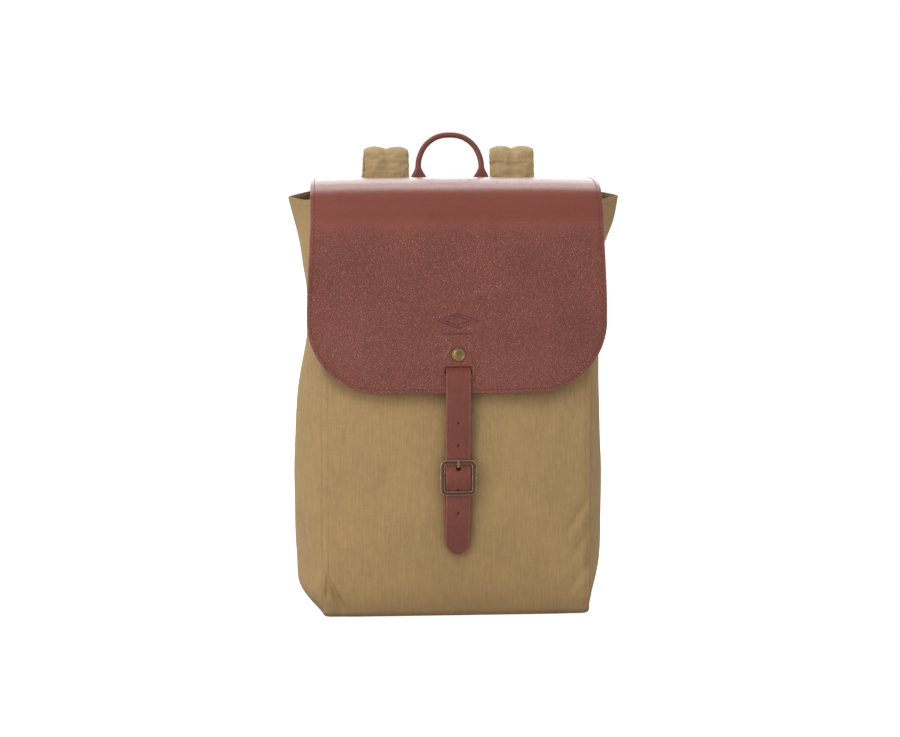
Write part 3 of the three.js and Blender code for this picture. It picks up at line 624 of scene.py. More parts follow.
BRONZE = brass_material("bronze_rubbed_and_highlit", rgb(252, 232, 210), rgb(104, 80, 62), rgb(40, 30, 24), rough=0.28)
FOAM = canvas_material("foam", rgb(70, 70, 72), object_space=True)
BOARD = canvas_material("board", rgb(50, 48, 46), object_space=True)
CORD = canvas_material("cord", rgb(216, 208, 192), object_space=True)

# ---------------------------------------------------------------- the body's outer skin
FRONT_LO, FRONT_HI = box("front_panel")
HALF_W, HALF_D, _ = box("base_panel")[1]
RIM = FRONT_HI[2]
EAR = box("gusset_right")[1][0]  # the mouth's side points
CLOTH = 2.0
MOUTH_D = CLOTH - FRONT_HI[1]
FRONT_BULGE = -FRONT_LO[1] - HALF_D
BACK_BULGE = box("back_panel")[1][1] - HALF_D
SIDE_BULGE = 19.5
SIDE_KEPT = 0.64  # share of the side bulge left at the waist
WAIST = 318.0
TAPER = 235.0  # the bag gets thinner from here to the mouth
ROLL = 3.4  # how far a panel turns back at its side seam
GUSSET_IN = 3.3  # the gusset stands in from the panels by this
GUSSET_HALF = 57.1


def half_depth(z):
    return lerp(HALF_D, MOUTH_D, smooth(z, TAPER, RIM))


def bulge(z, full, kept):
    return full * smooth(z, 0, 110) * lerp(1, kept, smooth(z, TAPER, RIM))


def side_bulge(z):
    low = SIDE_BULGE * (1 - np.exp(-np.maximum(z, 0) / 24)) * lerp(1, SIDE_KEPT, smooth(z, 100, WAIST))
    flare = EAR - HALF_W - SIDE_BULGE * SIDE_KEPT
    return low + flare * np.clip((z - WAIST) / (RIM - WAIST), 0, 1) ** 1.3


def under_turn(z, radius=6, depth=3.2):
    """How far the cloth rolls in under the base."""
    return depth * (1 - np.sqrt(np.clip(1 - (np.clip(radius - z, 0, radius) / radius) ** 2, 0, 1)))


def rolled(x, reach=9.0):
    """How far a panel turns back at its side seam."""
    q = np.clip((np.abs(x) - HALF_W + reach) / reach, 0, 1)
    return ROLL * (1 - np.sqrt(np.clip(1 - q * q, 0, 1)) * 0.999)


def soft_fold(q, z, q0, z0, q1, z1, width):
    """A valley with a low ridge beside it along the line from (q0, z0) to (q1, z1), fading at both ends."""
    d = arr(q1 - q0, z1 - z0)
    long = np.hypot(*d)
    d = d / long
    t = ((q - q0) * d[0] + (z - z0) * d[1]) / long
    off = (q - q0) * d[1] - (z - z0) * d[0]
    reach = smooth(t, -0.15, 0.25) * (1 - smooth(t, 0.55, 1.1))
    return (0.6 * bump_at(off, 1.7 * width, 1.4 * width) - bump_at(off, 0, width)) * reach


def corner_turn(x, z):
    """The lower corners of the front and back are rounded off."""
    return np.sign(x) * 1.3 * under_turn(z) * smooth(np.abs(x), HALF_W - 10, HALF_W)


def panel_waves(x, z, seed, deep, size, stretch):
    """Slow waves that die out at the foot and under the mouth."""
    return deep * ripple(x, z, seed, size, stretch) * smooth(z, 0, 60) * (1 - smooth(z, 330, 400))


def puckers(x, z, rate, drift):
    """Small waves along the side seams."""
    return 0.3 * np.sin(z * rate + 2 * np.sin(z * drift)) * bump_at(HALF_W - np.abs(x), 0, 9)


def front(x, z):
    s = np.clip(x / HALF_W, -1, 1)
    y = -half_depth(z) - bulge(z, FRONT_BULGE, 0.2) * (1 - s * s) + rolled(x) + under_turn(z)
    w = panel_waves(x, z, 3, 1.1, 120, 0.6) + 0.45 * ripple(x, z, 4, 50, 0.5) * smooth(z, 5, 70)
    left, right = HALF_W + x, HALF_W - x
    # one long fold and a pinch at the lower left corner, three shallower folds at the lower right
    w = w + 3.3 * soft_fold(left, z, 2, 44, 22, 3, 3.3)
    w = w + 1.6 * soft_fold(left, z, 1, 80, 30, 50, 5.0)
    w = w - 3.0 * bump_at(left, 3.6, 1.8) * bump_at(z, 26, 9)
    w = w + 1.7 * soft_fold(right, z, 1, 116, 26, 76, 4.2)
    w = w + 1.4 * soft_fold(right, z, 1, 84, 20, 52, 3.8)
    w = w + 1.4 * soft_fold(right, z, 1, 52, 22, 18, 3.8)
    w = w - 1.6 * bump_at(right, 2.2, 1.2) * bump_at(z, 55, 32)
    w = w + puckers(x, z, 0.36, 0.05)
    return points(x - corner_turn(x, z), y - w, z)


def back(x, z):
    s = np.clip(x / HALF_W, -1, 1)
    y = half_depth(z) + bulge(z, BACK_BULGE, 0.4) * (1 - s * s) - rolled(x) - under_turn(z)
    w = panel_waves(x, z, 8, 0.5, 110, 0.7) + puckers(x, z, 0.34, 0.06)
    return points(x - corner_turn(x, z), y + w, z)


def ridge(s, z):
    """The gusset's section: a round bulge below that turns into a fold at the mouth."""
    r = np.sqrt(s * s + 0.0025) - 0.05 * np.exp(-4 * s * s)
    return lerp(1 - s * s, 1 - r, smooth(z, 300, RIM))


def rim_drop(s, z):
    """The mouth sags at the sides, most in front of the fold."""
    return (5.5 * (1 - np.abs(s)) ** 0.7 + 4.5 * bump_at(s, -0.6, 0.42)) * smooth(z, 360, RIM)


def gusset(side):
    # the bag is packed a little fuller on its left, with a low bump at its foot
    full, foot, upper = (8.0, 5.5, 3.5) if side < 0 else (-2.0, 0.0, 4.0)
    upper_at, upper_width = (340, 32) if side < 0 else (375, 26)

    def f(y, z):
        s = np.clip(y / GUSSET_HALF, -1, 1)
        round_off = 1 - s * s
        turn = 3.2 * (1 - np.sqrt(1 - np.clip((np.abs(s) - 0.85) / 0.15, 0, 1) ** 2 * 0.999))
        b = side_bulge(z) * ridge(s, z)
        b = b + full * (1 - np.exp(-z / 16)) * (1 - smooth(z, 205, 285)) * round_off
        b = b + foot * bump_at(z, 18, 20) * smooth(z, 0, 8) * round_off
        b = b + upper * bump_at(z, upper_at, upper_width) * (1 - np.abs(s))
        w = 0.8 * ripple(y, z, 21 + side, 90, 0.6) * smooth(z, 4, 50) * (1 - smooth(z, 350, 405))
        w = w + 0.4 * ripple(y, z, 23 + side, 40, 0.5) * smooth(z, 4, 60) * (1 - smooth(np.abs(s), 0.8, 1))
        w = w - 2.6 * bump_at(s, 0, 0.16) * smooth(z, 120, 300) * (1 - smooth(z, 330, 395))
        for q in (GUSSET_HALF - y, GUSSET_HALF + y):
            w = w + 1.3 * soft_fold(q, z, 2, 52, 24, 14, 4.5) + 0.8 * soft_fold(q, z, 1, 96, 22, 66, 4.5)
        x = HALF_W + b - turn + w - under_turn(z)
        return points(side * x, s * (half_depth(z) - GUSSET_IN), z - rim_drop(s, z))

    return f


GUSSET_LEFT, GUSSET_RIGHT = gusset(-1), gusset(1)
FOOT = 1.2  # the cloth's lowest row


def rows(n):
    """Heights up the body, closer together near its foot."""
    return lerp(FOOT, RIM, span(0, 1, n) ** 1.2)


across = span(-1, 1, 141)
across = HALF_W * lerp(across, np.sin(across * PI / 2), 0.75)  # closer together at the side seams
gusset_across = span(-GUSSET_HALF, GUSSET_HALF, 70)
body = [skin("front_panel", "cloth", front, across, rows(200), CLOTH, CANVAS, 1),
        skin("back_panel", "cloth", back, across, rows(200), CLOTH, CANVAS_BACK, -1),
        skin("gusset_left", "cloth", GUSSET_LEFT, gusset_across, rows(190), CLOTH, CANVAS, -1),
        skin("gusset_right", "cloth", GUSSET_RIGHT, gusset_across, rows(190), CLOTH, CANVAS, 1)]


def base_points(t, a):
    """A rounded rectangle filled by scaling its outline by t, at the angles a. Its edge turns up."""
    squareness = 12.0
    c, s = np.cos(a), np.sin(a)
    r = (np.abs(c) ** squareness + np.abs(s) ** squareness) ** (-1 / squareness)
    edge_rise = 1.3 * smooth(t, 0.965, 1.0) ** 2
    return points(r * c * (HALF_W - 1.0) * t, r * s * (HALF_D - 1.0) * t, 0.1 + edge_rise)


T, A = np.meshgrid(span(0.004, 1.0, 26), span(0, 2 * PI, 241))
base_cloth = sheet("base_cloth", base_points, T, A, -1.6, CANVAS, uv=base_points(T, A)[..., :2], rim=2)
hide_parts("base_panel")
body.append(base_cloth)

# seams of the body: a row of stitches on each side, and the hem of the mouth
up_seam = span(6, RIM - 8, 300)
SIDE_FORM = dict(pitch=4.2, length=2.9, radius=0.28, lift=0.1)
HEM_FORM = dict(pitch=4.8, length=3.3, radius=0.3, lift=0.12)
PANELS = (("front", front, 1), ("back", back, -1))
for name, f, side in PANELS:
    for hand, x in (("_left", 5.5 - HALF_W), ("_right", HALF_W - 5.5)):
        body.append(seam("seam_" + name + hand, f, x, up_seam, side, THREAD, **SIDE_FORM))
for name, f, side, half, n in ((*PANELS[0], HALF_W - 4, 300), (*PANELS[1], HALF_W - 4, 300),
                               ("left", GUSSET_LEFT, -1, 54, 200), ("right", GUSSET_RIGHT, 1, 54, 200)):
    body.append(seam("hem_" + name, f, span(-half, half, n), RIM - 4.5, side, THREAD, **HEM_FORM))
ride("bag", "canvas", *body)


# ---------------------------------------------------------------- inside the body
def inside_loop(z, inset, rear=0.0):
    """One turn round the inside of the bag at height z, inset from the cloth and rear more at the back."""
    hx, depth = HALF_W - inset, half_depth(z)
    t, q = turns(44, 1), turns(26, 1)
    bowed = 1 - (2 * t - 1) ** 2
    rounded = lambda y: np.clip(y / (depth - GUSSET_IN), -1, 1)
    side_x = lambda y: hx + side_bulge(z) * ridge(rounded(y), z)
    y_right = lerp(inset - depth, depth - inset - rear, q)
    y_left = lerp(depth - inset - rear, inset - depth, q)
    y_front = -depth - bulge(z, FRONT_BULGE, 0.2) * bowed + inset
    y_back = depth + bulge(z, BACK_BULGE, 0.4) * bowed - inset - rear
    x = np.concatenate([lerp(-hx, hx, t), side_x(y_right), lerp(hx, -hx, t), -side_x(y_left)])
    y = np.concatenate([y_front, y_right, y_back, y_left])
    drop = np.concatenate([0 * t, rim_drop(rounded(y_right), z), 0 * t, rim_drop(rounded(y_left), z)])
    return points(x, y, z - drop)


LINING_LO, LINING_HI = box("lining")
COTTON_T = 1.0
levels = np.concatenate([[LINING_LO[2]], lerp(LINING_LO[2] + 4, LINING_HI[2], span(0, 1, 60) ** 1.2)])


def sagging(z, inset):
    """The lining hangs a little loose inside the cloth, and is held near its top."""
    foam_room = 6.4
    p = inside_loop(z, inset, foam_room)
    k = np.arange(len(p)) * 7.0
    inward = unit(p[:, :2].mean(0) - p[:, :2])
    w = 1.3 + 1.1 * ripple(k, z, 31, 70, 0.5) + 0.6 * ripple(k, z, 32, 28, 0.3)
    p[:, :2] += inward * np.clip(w, 0.1, 4)[:, None] * (0.3 if z > LINING_HI[2] - 6 else 1.0)
    return p


outer = [sagging(z, 3.6) for z in levels]
inner = [sagging(z, 3.6 + COTTON_T) for z in levels]
inner[0] += arr(0, 0, COTTON_T)
lining = loft("lining_cloth", outer + inner[::-1], COTTON)
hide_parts("lining")
low, high = box("mouth_facing")[0][2], box("mouth_facing")[1][2]
facing_section = [(low + 0.5, 3.4), (high - 1.0, 3.4), (high - 0.2, 3.8), (high - 0.2, 4.2),
                  (high - 1.0, 4.6), (low + 0.5, 4.6), (low, 4.3), (low, 3.7)]
facing = loft("mouth_facing_cloth", [inside_loop(z, inset) for z, inset in facing_section], COTTON, loop=True)
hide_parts("mouth_facing")
line = inside_loop(low + 3, 4.6)
line = np.vstack([line, line[:1]])
inward = unit(line[:-1, :2].mean(0) - line[:, :2])
facing_seam = stitches("facing_seam", line, points(*inward.T, 0), THREAD, length=3.2, radius=0.28, lift=0.15)

SLEEVE_LO, SLEEVE_HI = box("laptop_sleeve")
QUILT = 46  # twice the distance between the quilting lines, measured across
SLEEVE_EDGE = 9


def sleeve(x, z):
    """A quilted sheet with rounded edges."""
    over = [np.maximum(v, 0) for v in (np.abs(x) - SLEEVE_HI[0] + SLEEVE_EDGE, z - SLEEVE_HI[2] + SLEEVE_EDGE,
                                       SLEEVE_LO[2] + SLEEVE_EDGE - z)]
    full = 1 - smooth(sum(over), 0, SLEEVE_EDGE)
    quilt = sum(0.55 * (1 - np.abs(np.sin(PI * diagonal / QUILT)) ** 0.3) for diagonal in (x + z, x - z))
    return points(x, SLEEVE_LO[1] + 1.4 - 1.6 * full + quilt * full, z)


sleeve_cloth = skin("laptop_sleeve", "cloth", sleeve, span(SLEEVE_LO[0] + 2, SLEEVE_HI[0] - 2, 90),
                    span(SLEEVE_LO[2] + 2, SLEEVE_HI[2] - 1.5, 100), 3.2, COTTON, 1)
BIND_LO, BIND_HI = box("sleeve_binding")


def binding(x, a):
    """A bound edge: a strip folded over the sleeve's top, drawn round its section by the angle a."""
    middle, half, fall = (SLEEVE_LO[1] + SLEEVE_HI[1]) / 2, (BIND_HI[1] - BIND_LO[1]) / 2, 7
    bent = np.abs(a) < 1
    y = np.where(bent, np.sin(a * PI / 2) * half, np.sign(a) * half)
    z = BIND_HI[2] - half + np.where(bent, np.cos(a * PI / 2) * half, -(np.abs(a) - 1) * fall)
    return points(x, middle + y, z)


bind_x = span(BIND_LO[0], BIND_HI[0], 80)
binding_cloth = skin("sleeve_binding", "cloth", binding, bind_x, span(-2, 2, 25), 1.0, CANVAS, 1)
binding_seam = seam("sleeve_binding_seam", binding, span(BIND_LO[0] + 2, BIND_HI[0] - 2, 120), -1.75, 1, THREAD,
                    pitch=4.4, radius=0.28, lift=0.1)
ride("bag", "cotton", lining, sleeve_cloth)
ride("bag", "canvas", facing, facing_seam, binding_cloth, binding_seam)
for node, look in (("back_foam", FOAM), ("base_board", BOARD), ("handle_core", CORD)):
    frame["nodes"][node].data.materials.clear()
    frame["nodes"][node].data.materials.append(look)

# ---------------------------------------------------------------- flap
joints = {j["name"]: j for j in frame["joints"]}


def joint_at(name):
    return arr(*joints[name]["pos_m"]) / MM


RIVET_LO, RIVET_HI = box("rivet_cap")
RIVET_Z = (RIVET_LO[2] + RIVET_HI[2]) / 2
SLOT_Z = joint_at("strap_swing")[2]
STRAP_W = box("closure_strap")[1][0]
SEAM_SHARE, FOLD_SHARE, FOOT_SHARE = 0.958, 0.964, 0.996  # the flap's width against its widest line
FLAP_LO, FLAP_HI = box("flap_leather_front")
FLAP_W = FLAP_HI[0] / FOOT_SHARE
FLAP_T = 1.8
profile = Path([(45.5, 411), (30, 416.8), (5, box("flap_leather_top")[1][2] - 0.4), (-25, 419), (-50, 411.5),
                (-64, 394), (-71, 365), (-77, 320), (-81, 270), (FLAP_LO[1], FLAP_LO[2])])
LONG = profile.length
FOLD = 104.0
CORNER = 66.0


def along_section(path, l, reach):
    """Points and tangents at the length l, going straight on past both ends."""
    inside = np.clip(l, 0, path.length)
    t = path.tangent(inside, reach)
    return path.at(inside) + (l - inside)[..., None] * t, t


def flap_half(l, margin=0.0):
    deep = np.clip(l + margin - (LONG - CORNER), 0, CORNER)
    return FLAP_W - (CORNER - np.sqrt(np.maximum(CORNER**2 - deep**2, 0))) - margin


def flap(x, l, depth=0.0):
    l = np.asarray(l, float) + 0 * x
    p, t = along_section(profile, l, 1.5)
    a = (x / FLAP_W) ** 2
    tuck = 12 * smooth(l, FOLD, LONG) * a
    droop = 1.6 * np.sin(PI * np.clip(l / (FOLD + 30), 0, 1)) * a * a
    d = depth - 0.9 * ripple(x, l, 41, 190, 0.8) * smooth(l, FOLD, FOLD + 60)
    d = d - 0.5 * ripple(x, l, 42, 80, 1.0) * smooth(l, 130, 200)
    # the cut widens from the seam to the foot
    share = lerp(lerp(SEAM_SHARE, FOLD_SHARE, smooth(l, 0, 95)), FOOT_SHARE, smooth(l, 110, 230))
    return points(x * share, p[..., 0] - t[..., 1] * d + tuck, p[..., 1] + t[..., 0] * d - droop)


def flap_grid(n, first, margin=0.0):
    """Rows crowd towards the rounded foot, and columns crowd round the slot."""
    crowd, middle = 0.55, 0.16
    slowing = crowd + (1 - crowd) * np.sin(span(0, PI / 2, n - n // 2))
    share = np.concatenate([turns(n // 2, crowd), slowing])
    wing = span(middle, 1, 44)
    columns = np.concatenate([-wing[::-1], span(-middle, middle, 64)[1:-1], wing])
    U, L = np.meshgrid(columns, first + (LONG - margin - first) * share)
    return U * flap_half(L, margin), L


def in_slot(P):
    return (np.abs(P[..., 0]) < STRAP_W + 0.15) & (P[..., 2] > SLOT_Z - 5.0) & (P[..., 2] < SLOT_Z + 1.0)


def pressed(X, L):
    """The strap's end and the rivet press through the leather above the slot."""
    P = flap(X, L)
    x, up = P[..., 0], P[..., 2] - SLOT_Z
    half = lerp(STRAP_W + 1.0, 7.0, smooth(up, 9, 23))
    end = smooth(up, 1.5, 3) * (1 - smooth(up, 22, 26))
    lift = 1.2 * end * (1 - smooth(np.abs(x), half - 1.4, half + 1.4))
    lift = lift + 0.5 * bump_at(np.abs(x), STRAP_W, 1.3) * bump_at(up, 5, 4)
    return lift - 0.9 * (1 - smooth(np.hypot(x, P[..., 2] - RIVET_Z), 5.5, 9.5))


X, L = flap_grid(240, 0.7)
flap_leather = sheet("flap_leather", flap, X, L, FLAP_T, FLAP_LEATHER, -1, hole=in_slot, lift=pressed(X, L))
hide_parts("flap_leather_top", "flap_leather_front")
X, L = flap_grid(150, 2.0, 1.0)
flap_suede = sheet("flap_suede", lambda x, l: flap(x, l, FLAP_T + 0.3), X, L, 1.0, SUEDE, -1, hole=in_slot)
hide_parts("flap_lining_top", "flap_lining_front")


def flap_line(margin):
    """Down one side, round the lower corner, across and up the other side."""
    turn = span(0, PI / 2, 90)
    straight = span(10, LONG - CORNER, 160)
    l = np.concatenate([straight, LONG - margin - (CORNER - margin) * (1 - np.sin(turn))])
    h = np.concatenate([flap_half(straight) - margin, FLAP_W - CORNER + (CORNER - margin) * np.cos(turn)])
    foot = span(-h[-1], h[-1], 80)[1:-1]
    return np.concatenate([-h, foot, h[::-1]]), np.concatenate([l, 0 * foot + l[-1], l[::-1]])


flap_stitch = seam("flap_stitches", flap, *flap_line(EDGE_TO_STITCHES), -1, THREAD_DARK,
                   pitch=3.7, length=2.7, radius=0.3, lift=0.1)
FOLD_BEND = ("flap_top", "flap_front", (0, -40, 415.5), (0, -64, 393))
blend(*FOLD_BEND, "leather", flap_leather, flap_stitch)
blend(*FOLD_BEND, "suede", flap_suede)

# ---------------------------------------------------------------- closure strap and rivet
BUCKLE_LO, BUCKLE_HI = box("buckle_frame")
BUCKLE_Z = (BUCKLE_LO[2] + BUCKLE_HI[2]) / 2
BAR_Y = joint_at("prong_pivot")[1]
strap_path = Path([(-75.3, RIVET_Z + 12), (-75.3, RIVET_Z), (-76.2, SLOT_Z + 5.6), (-80.4, SLOT_Z),
                   (-84.6, SLOT_Z - 4.6), (-85.4, SLOT_Z - 12), (-85.2, 222), (-83.4, 195),
                   (-80.8, BUCKLE_Z + 20), (-80.9, BUCKLE_Z + 11), (-83.4, BUCKLE_Z),
                   (-80.9, BUCKLE_Z - 11), (-80.4, BUCKLE_Z - 20),
                   (-79.4, 100), (-76.2, 82), (-72.8, box("closure_strap")[0][2] + 0.2)])
STRAP_L = strap_path.length
STRAP_T = 2.2
STRAP_TIP = 15.0
PRONG_HOLE = BUCKLE_Z + 8.7
HOLES = [(PRONG_HOLE - n * 22.0, 2.2 if n == 0 else 1.05) for n in (-2, -1, 0, 1, 2)]  # heights and radii


def strap_half(l):
    tip = np.clip(1 - (STRAP_L - l) / STRAP_TIP, 0, 1)
    return (STRAP_W - 1.7) * np.sqrt(np.maximum(1 - tip**2.2, 0))


def strap(x, l):
    l = np.asarray(l, float) + 0 * x
    p, t = along_section(strap_path, l, 1.2)
    high = STRAP_T / 2 - 0.2 + 0.35 * (1 - (x / STRAP_W) ** 2)
    return points(x, p[..., 0] + t[..., 1] * high, p[..., 1] - t[..., 0] * high)


def from_hole(P, height):
    return np.hypot(P[..., 0], P[..., 2] - height)


def punched(P):
    return np.any([from_hole(P, height) < radius for height, radius in HOLES], axis=0)


def strap_lift(X, L):
    """The leather sinks round its holes and along a creased line near its edge."""
    P = strap(X, L)
    lift = sum(-0.3 * bump_at(from_hole(P, height), 1.2, 0.8) for height, _ in HOLES)
    return lift - 0.22 * bump_at(strap_half(L) - np.abs(X), 1.9, 0.35) * (L > 40)


tip_rows = STRAP_L - 16 * (1 - np.sin(span(0, PI / 2, 40)))
l = np.concatenate([span(0, STRAP_L - 16, 330), tip_rows[1:]])
U, L = np.meshgrid((np.sin(span(-PI / 2, PI / 2, 61)) + span(-1, 1, 61)) * 0.5, l)
X = U * np.maximum(strap_half(L), 2.2)
closure = sheet("closure_strap_leather", strap, X, L, STRAP_T, STRAP_LEATHER, -1,
                hole=punched, lift=strap_lift(X, L))
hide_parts("closure_strap")
blend("flap_front", "strap", (0, -78, SLOT_Z + 4), (0, -85, SLOT_Z - 14), "leather", closure)

cap = [(0.05, 0.1), (5.9, 0.0), (6.25, 0.35), (6.3, 0.8), (6.1, 1.25), (5.75, 1.5), (5.45, 1.45), (5.2, 1.2),
       (5.0, 1.15), (4.6, 1.5), (3.9, 1.95), (2.9, 2.3), (1.8, 2.5), (0.8, 2.58), (0.05, 2.6)]
rivet = revolve("rivet_cap_brass", cap, BRASS, arr(0, RIVET_HI[1], RIVET_Z))
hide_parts("rivet_cap")
post_y = box("rivet_post")[1][1]
post_long = post_y - box("rivet_post")[0][1]
post = [(0.05, 0.0), (3.9, 0.05), (4.4, 0.35), (4.5, 0.7), (4.3, 1.0), (2.4, 1.15), (1.75, 1.5), (1.7, 3.0),
        (1.7, post_long - 0.5), (1.4, post_long), (0.05, post_long)]
rivet_post = revolve("rivet_post_brass", post, BRASS, arr(0, post_y, RIVET_Z))
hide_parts("rivet_post")
ride("flap_front", "brass", rivet, rivet_post)

# ---------------------------------------------------------------- buckle
BUCKLE_BAR = 3.9
BUCKLE_HALF = (BUCKLE_HI[0] - BUCKLE_LO[0]) / 2
FACE_T = 1.35  # half the frame's thickness
FACE_Y = BUCKLE_LO[1] + FACE_T
mid_line = BUCKLE_HALF - BUCKLE_BAR / 2
square = rounded_loop(mid_line, mid_line, 3.6) + arr(0, BUCKLE_Z)
bowed = lambda x, z: 0.5 * ((z - BUCKLE_Z) / BUCKLE_HALF) ** 4
ring = band("buckle_ring", square, BUCKLE_BAR / 2, FACE_T, FACE_Y, BRONZE, bend=bowed)
bar = tube("buckle_bar", points(span(-1, 1, 15) * (BUCKLE_HALF - 1.9), BAR_Y, BUCKLE_Z), 1.3, BRONZE)
lugs = [points(s * (BUCKLE_HALF - 1.8), span(FACE_Y, BAR_Y + 0.3, 9), BUCKLE_Z) for s in (-1, 1)]
lugs = [tube("lug", line, span(2.4, 1.7, 9), BRONZE) for line in lugs]
buckle = joined("buckle_frame_brass", ring, bar, *lugs)
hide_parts("buckle_frame")
ride("buckle", "brass", buckle)

prong_path = Path([(0, BAR_Y - 2.1, BUCKLE_Z + 0.6), (0, -79.5, BUCKLE_Z + 5.4), (0, -81.4, PRONG_HOLE + 0.3),
                   (0, -85.4, PRONG_HOLE + 2.6), (0, -86.6, BUCKLE_Z + 13.8), (0, -86.7, BUCKLE_Z + 16.6)])
taper = span(1.15, 0.95, 30)
taper[-3:] *= (0.9, 0.7, 0.35)
tongue = tube("prong_tongue", prong_path.at(span(0, prong_path.length, 30)), taper, BRONZE, up=(1, 0, 0))
EYE_R, EYE_T, EYE_W = 2.15, 0.55, 1.5
b = turns(10)[:, None]
eye_width = arr(EYE_W, 0, 0) * superellipse(b, 1, 0.7)[1]
eye_rings = []
for k in turns(36):
    out = arr(0, math.cos(k), math.sin(k))
    eye_rings.append(arr(0, BAR_Y, BUCKLE_Z) + EYE_R * out + EYE_T * out * np.cos(b) + eye_width)
prong = joined("buckle_prong_brass", tongue, loft("prong_eye", eye_rings, BRONZE, loop=True))
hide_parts("buckle_prong")
ride("prong", "brass", prong)


def folded(path):
    """The face swept across by x from a line in the (y, z) plane."""
    return lambda s, x: points(x, *np.moveaxis(path.at(np.clip(s + 0 * x, 0, path.length)), -1, 0))


# the leather that holds the buckle: a strip folded round the centre bar, sewn to the front
CHAPE_LO, CHAPE_HI = box("buckle_chape")
eye_r = (CHAPE_HI[1] - CHAPE_LO[1]) / 2
a = span(PI, 0, 13)
chape_path = Path([(BAR_Y + 0.1, CHAPE_LO[2] + 0.5), (BAR_Y - 0.1, BUCKLE_Z - 12),
                   (BAR_Y - 1.6, BUCKLE_Z - 6), *zip(BAR_Y + eye_r * np.cos(a), BUCKLE_Z + eye_r * np.sin(a)),
                   (CHAPE_HI[1], BUCKLE_Z - 12), (CHAPE_HI[1], CHAPE_LO[2] + 0.5)])
chape = folded(chape_path)
prong_slot = lambda P: (np.abs(P[..., 0]) < 2.3) & (P[..., 2] > BUCKLE_Z - 7) & (P[..., 1] < BAR_Y + 2.4)
chape_x = span(CHAPE_LO[0], CHAPE_HI[0], 51)
chape_leather = skin("buckle_chape", "leather", chape, span(0, chape_path.length, 110), chape_x,
                     1.4, STRAP_LEATHER, -1, hole=prong_slot)
cx, cs = polyline([(-10, 4), (-10, 27), (10, 27), (10, 4), (-10, 4)], 20)
chape_seam = seam("buckle_chape_stitches", chape, cs, cx, -1, THREAD_DARK, pitch=3.6, length=2.6, radius=0.3)
ride("bag", "leather", chape_leather, chape_seam)

# ---------------------------------------------------------------- handle
TAB_LO, TAB_HI = box("handle_tab_right")
TAB_X = (TAB_LO[0] + TAB_HI[0]) / 2
TAB_W = (TAB_HI[0] - TAB_LO[0]) / 2
TAB_T = 1.35
ROLL_R = 2.85
half_arch = [(TAB_X, 48.9, TAB_LO[2] + 1), (TAB_X, 48.3, 390), (TAB_X, 48.2, 402), (TAB_X, 51.2, 412),
             (31.1, 53.4, 422), (30.4, 56.4, 434), (24.4, 59.6, 447), (13.4, 61.6, 455.4)]
arch_top = (0, 62.2, box("grab_handle")[1][2] - 2.7)
arch = Path([(-x, y, z) for x, y, z in half_arch] + [arch_top] + half_arch[::-1], 1200)
a = turns(40)
c, q = np.cos(a), np.sin(a)
flat_u, flat_v = superellipse(a, 0.7, 0.6)
# the edges of the rolled leather meet in a groove on the inside of the arch
groove = 0.2 * np.exp(-((np.angle(np.exp(1j * (a - PI)))) / 0.22) ** 2)
rings, seam_line, seam_out = [], [], []
for s in span(0, arch.length, 190):
    p, t = arch.at(s), arch.tangent(s, 2)
    end = min(s, arch.length - s)
    flat = 1 - smooth(end, 38, 54)
    back_dir = unit(arr(0, 1, 0) - t * t[1])
    out_dir = np.cross(t, back_dir)
    wide = lerp(ROLL_R, TAB_W, flat) * (1 - 0.25 * (1 - smooth(end, 0, 5)))
    thick = lerp(ROLL_R, TAB_T, flat)
    u = lerp(c, flat_u, flat) * wide * (1 - groove * (1 - flat))
    v = lerp(q, flat_v, flat) * thick
    rings.append(p + out_dir * u[:, None] + back_dir * v[:, None])
    if end > 50:
        seam_line.append(p - out_dir * wide * 0.8 + back_dir * thick * 0.45)
        seam_out.append(-out_dir * 0.8 + back_dir * 0.6)
handle = loft("grab_handle_leather", rings, ROLL_LEATHER)
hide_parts("grab_handle", "handle_tab_left", "handle_tab_right")
handle_seam = stitches("grab_handle_stitches", seam_line, seam_out, THREAD_DARK,
                       pitch=4.0, length=2.8, radius=0.3, lift=0.2)
blend("bag", "handle", (0, 50.5, 407), (0, 52.5, 419), "leather", handle, handle_seam)

# ---------------------------------------------------------------- back yoke and the flap's hinge strip
YOKE_LO, YOKE_HI = box("back_yoke")
YOKE_FORM = dict(pitch=4.2, length=3.0, radius=0.36, lift=0.2)


def yoke(x, z):
    """A leather band that rises over the sewn ends of the straps and the handle."""
    into = np.minimum(YOKE_HI[0] - np.abs(x), z - YOKE_LO[2])
    rise = lerp(1.5, 7.0, smooth(into, 0, 13)) - 0.5 * bump_at(into, 4, 1.2)
    return points(x, back(x, z)[..., 1] + rise, z)


yoke_x, yoke_z = span(YOKE_LO[0], YOKE_HI[0], 140), span(YOKE_LO[2], YOKE_HI[2], 36)
yoke_leather = skin("back_yoke", "leather", yoke, yoke_x, yoke_z, 1.4, LEATHER, -1)
left, right, low, high = YOKE_LO[0] + 4, YOKE_HI[0] - 4, YOKE_LO[2] + 4, YOKE_HI[2] - 3
yx = np.concatenate([np.full(12, left), span(left, right, 160), np.full(12, right)])
yz = np.concatenate([span(high, low, 12), np.full(160, low), span(low, high, 12)])
yoke_seam = seam("back_yoke_stitches", yoke, yx, yz, -1, THREAD_DARK, **YOKE_FORM)
top_x = span(left + 2, right - 2, 160)
yoke_top = seam("back_yoke_stitches_top", yoke, top_x, high - 2, -1, THREAD_DARK, **YOKE_FORM)
ride("bag", "leather", yoke_leather, yoke_seam, yoke_top)

# how far behind the cloth the strip lies, and its height
hinge_path = Path([(0, 386), (0.1, 395), (0.1, 402), (0.3, 407), (-0.2, 410.2), (-3.0, 412.9), (-9, 414.9),
                   (-17, 417.6)])
HINGE_Y = 46.6


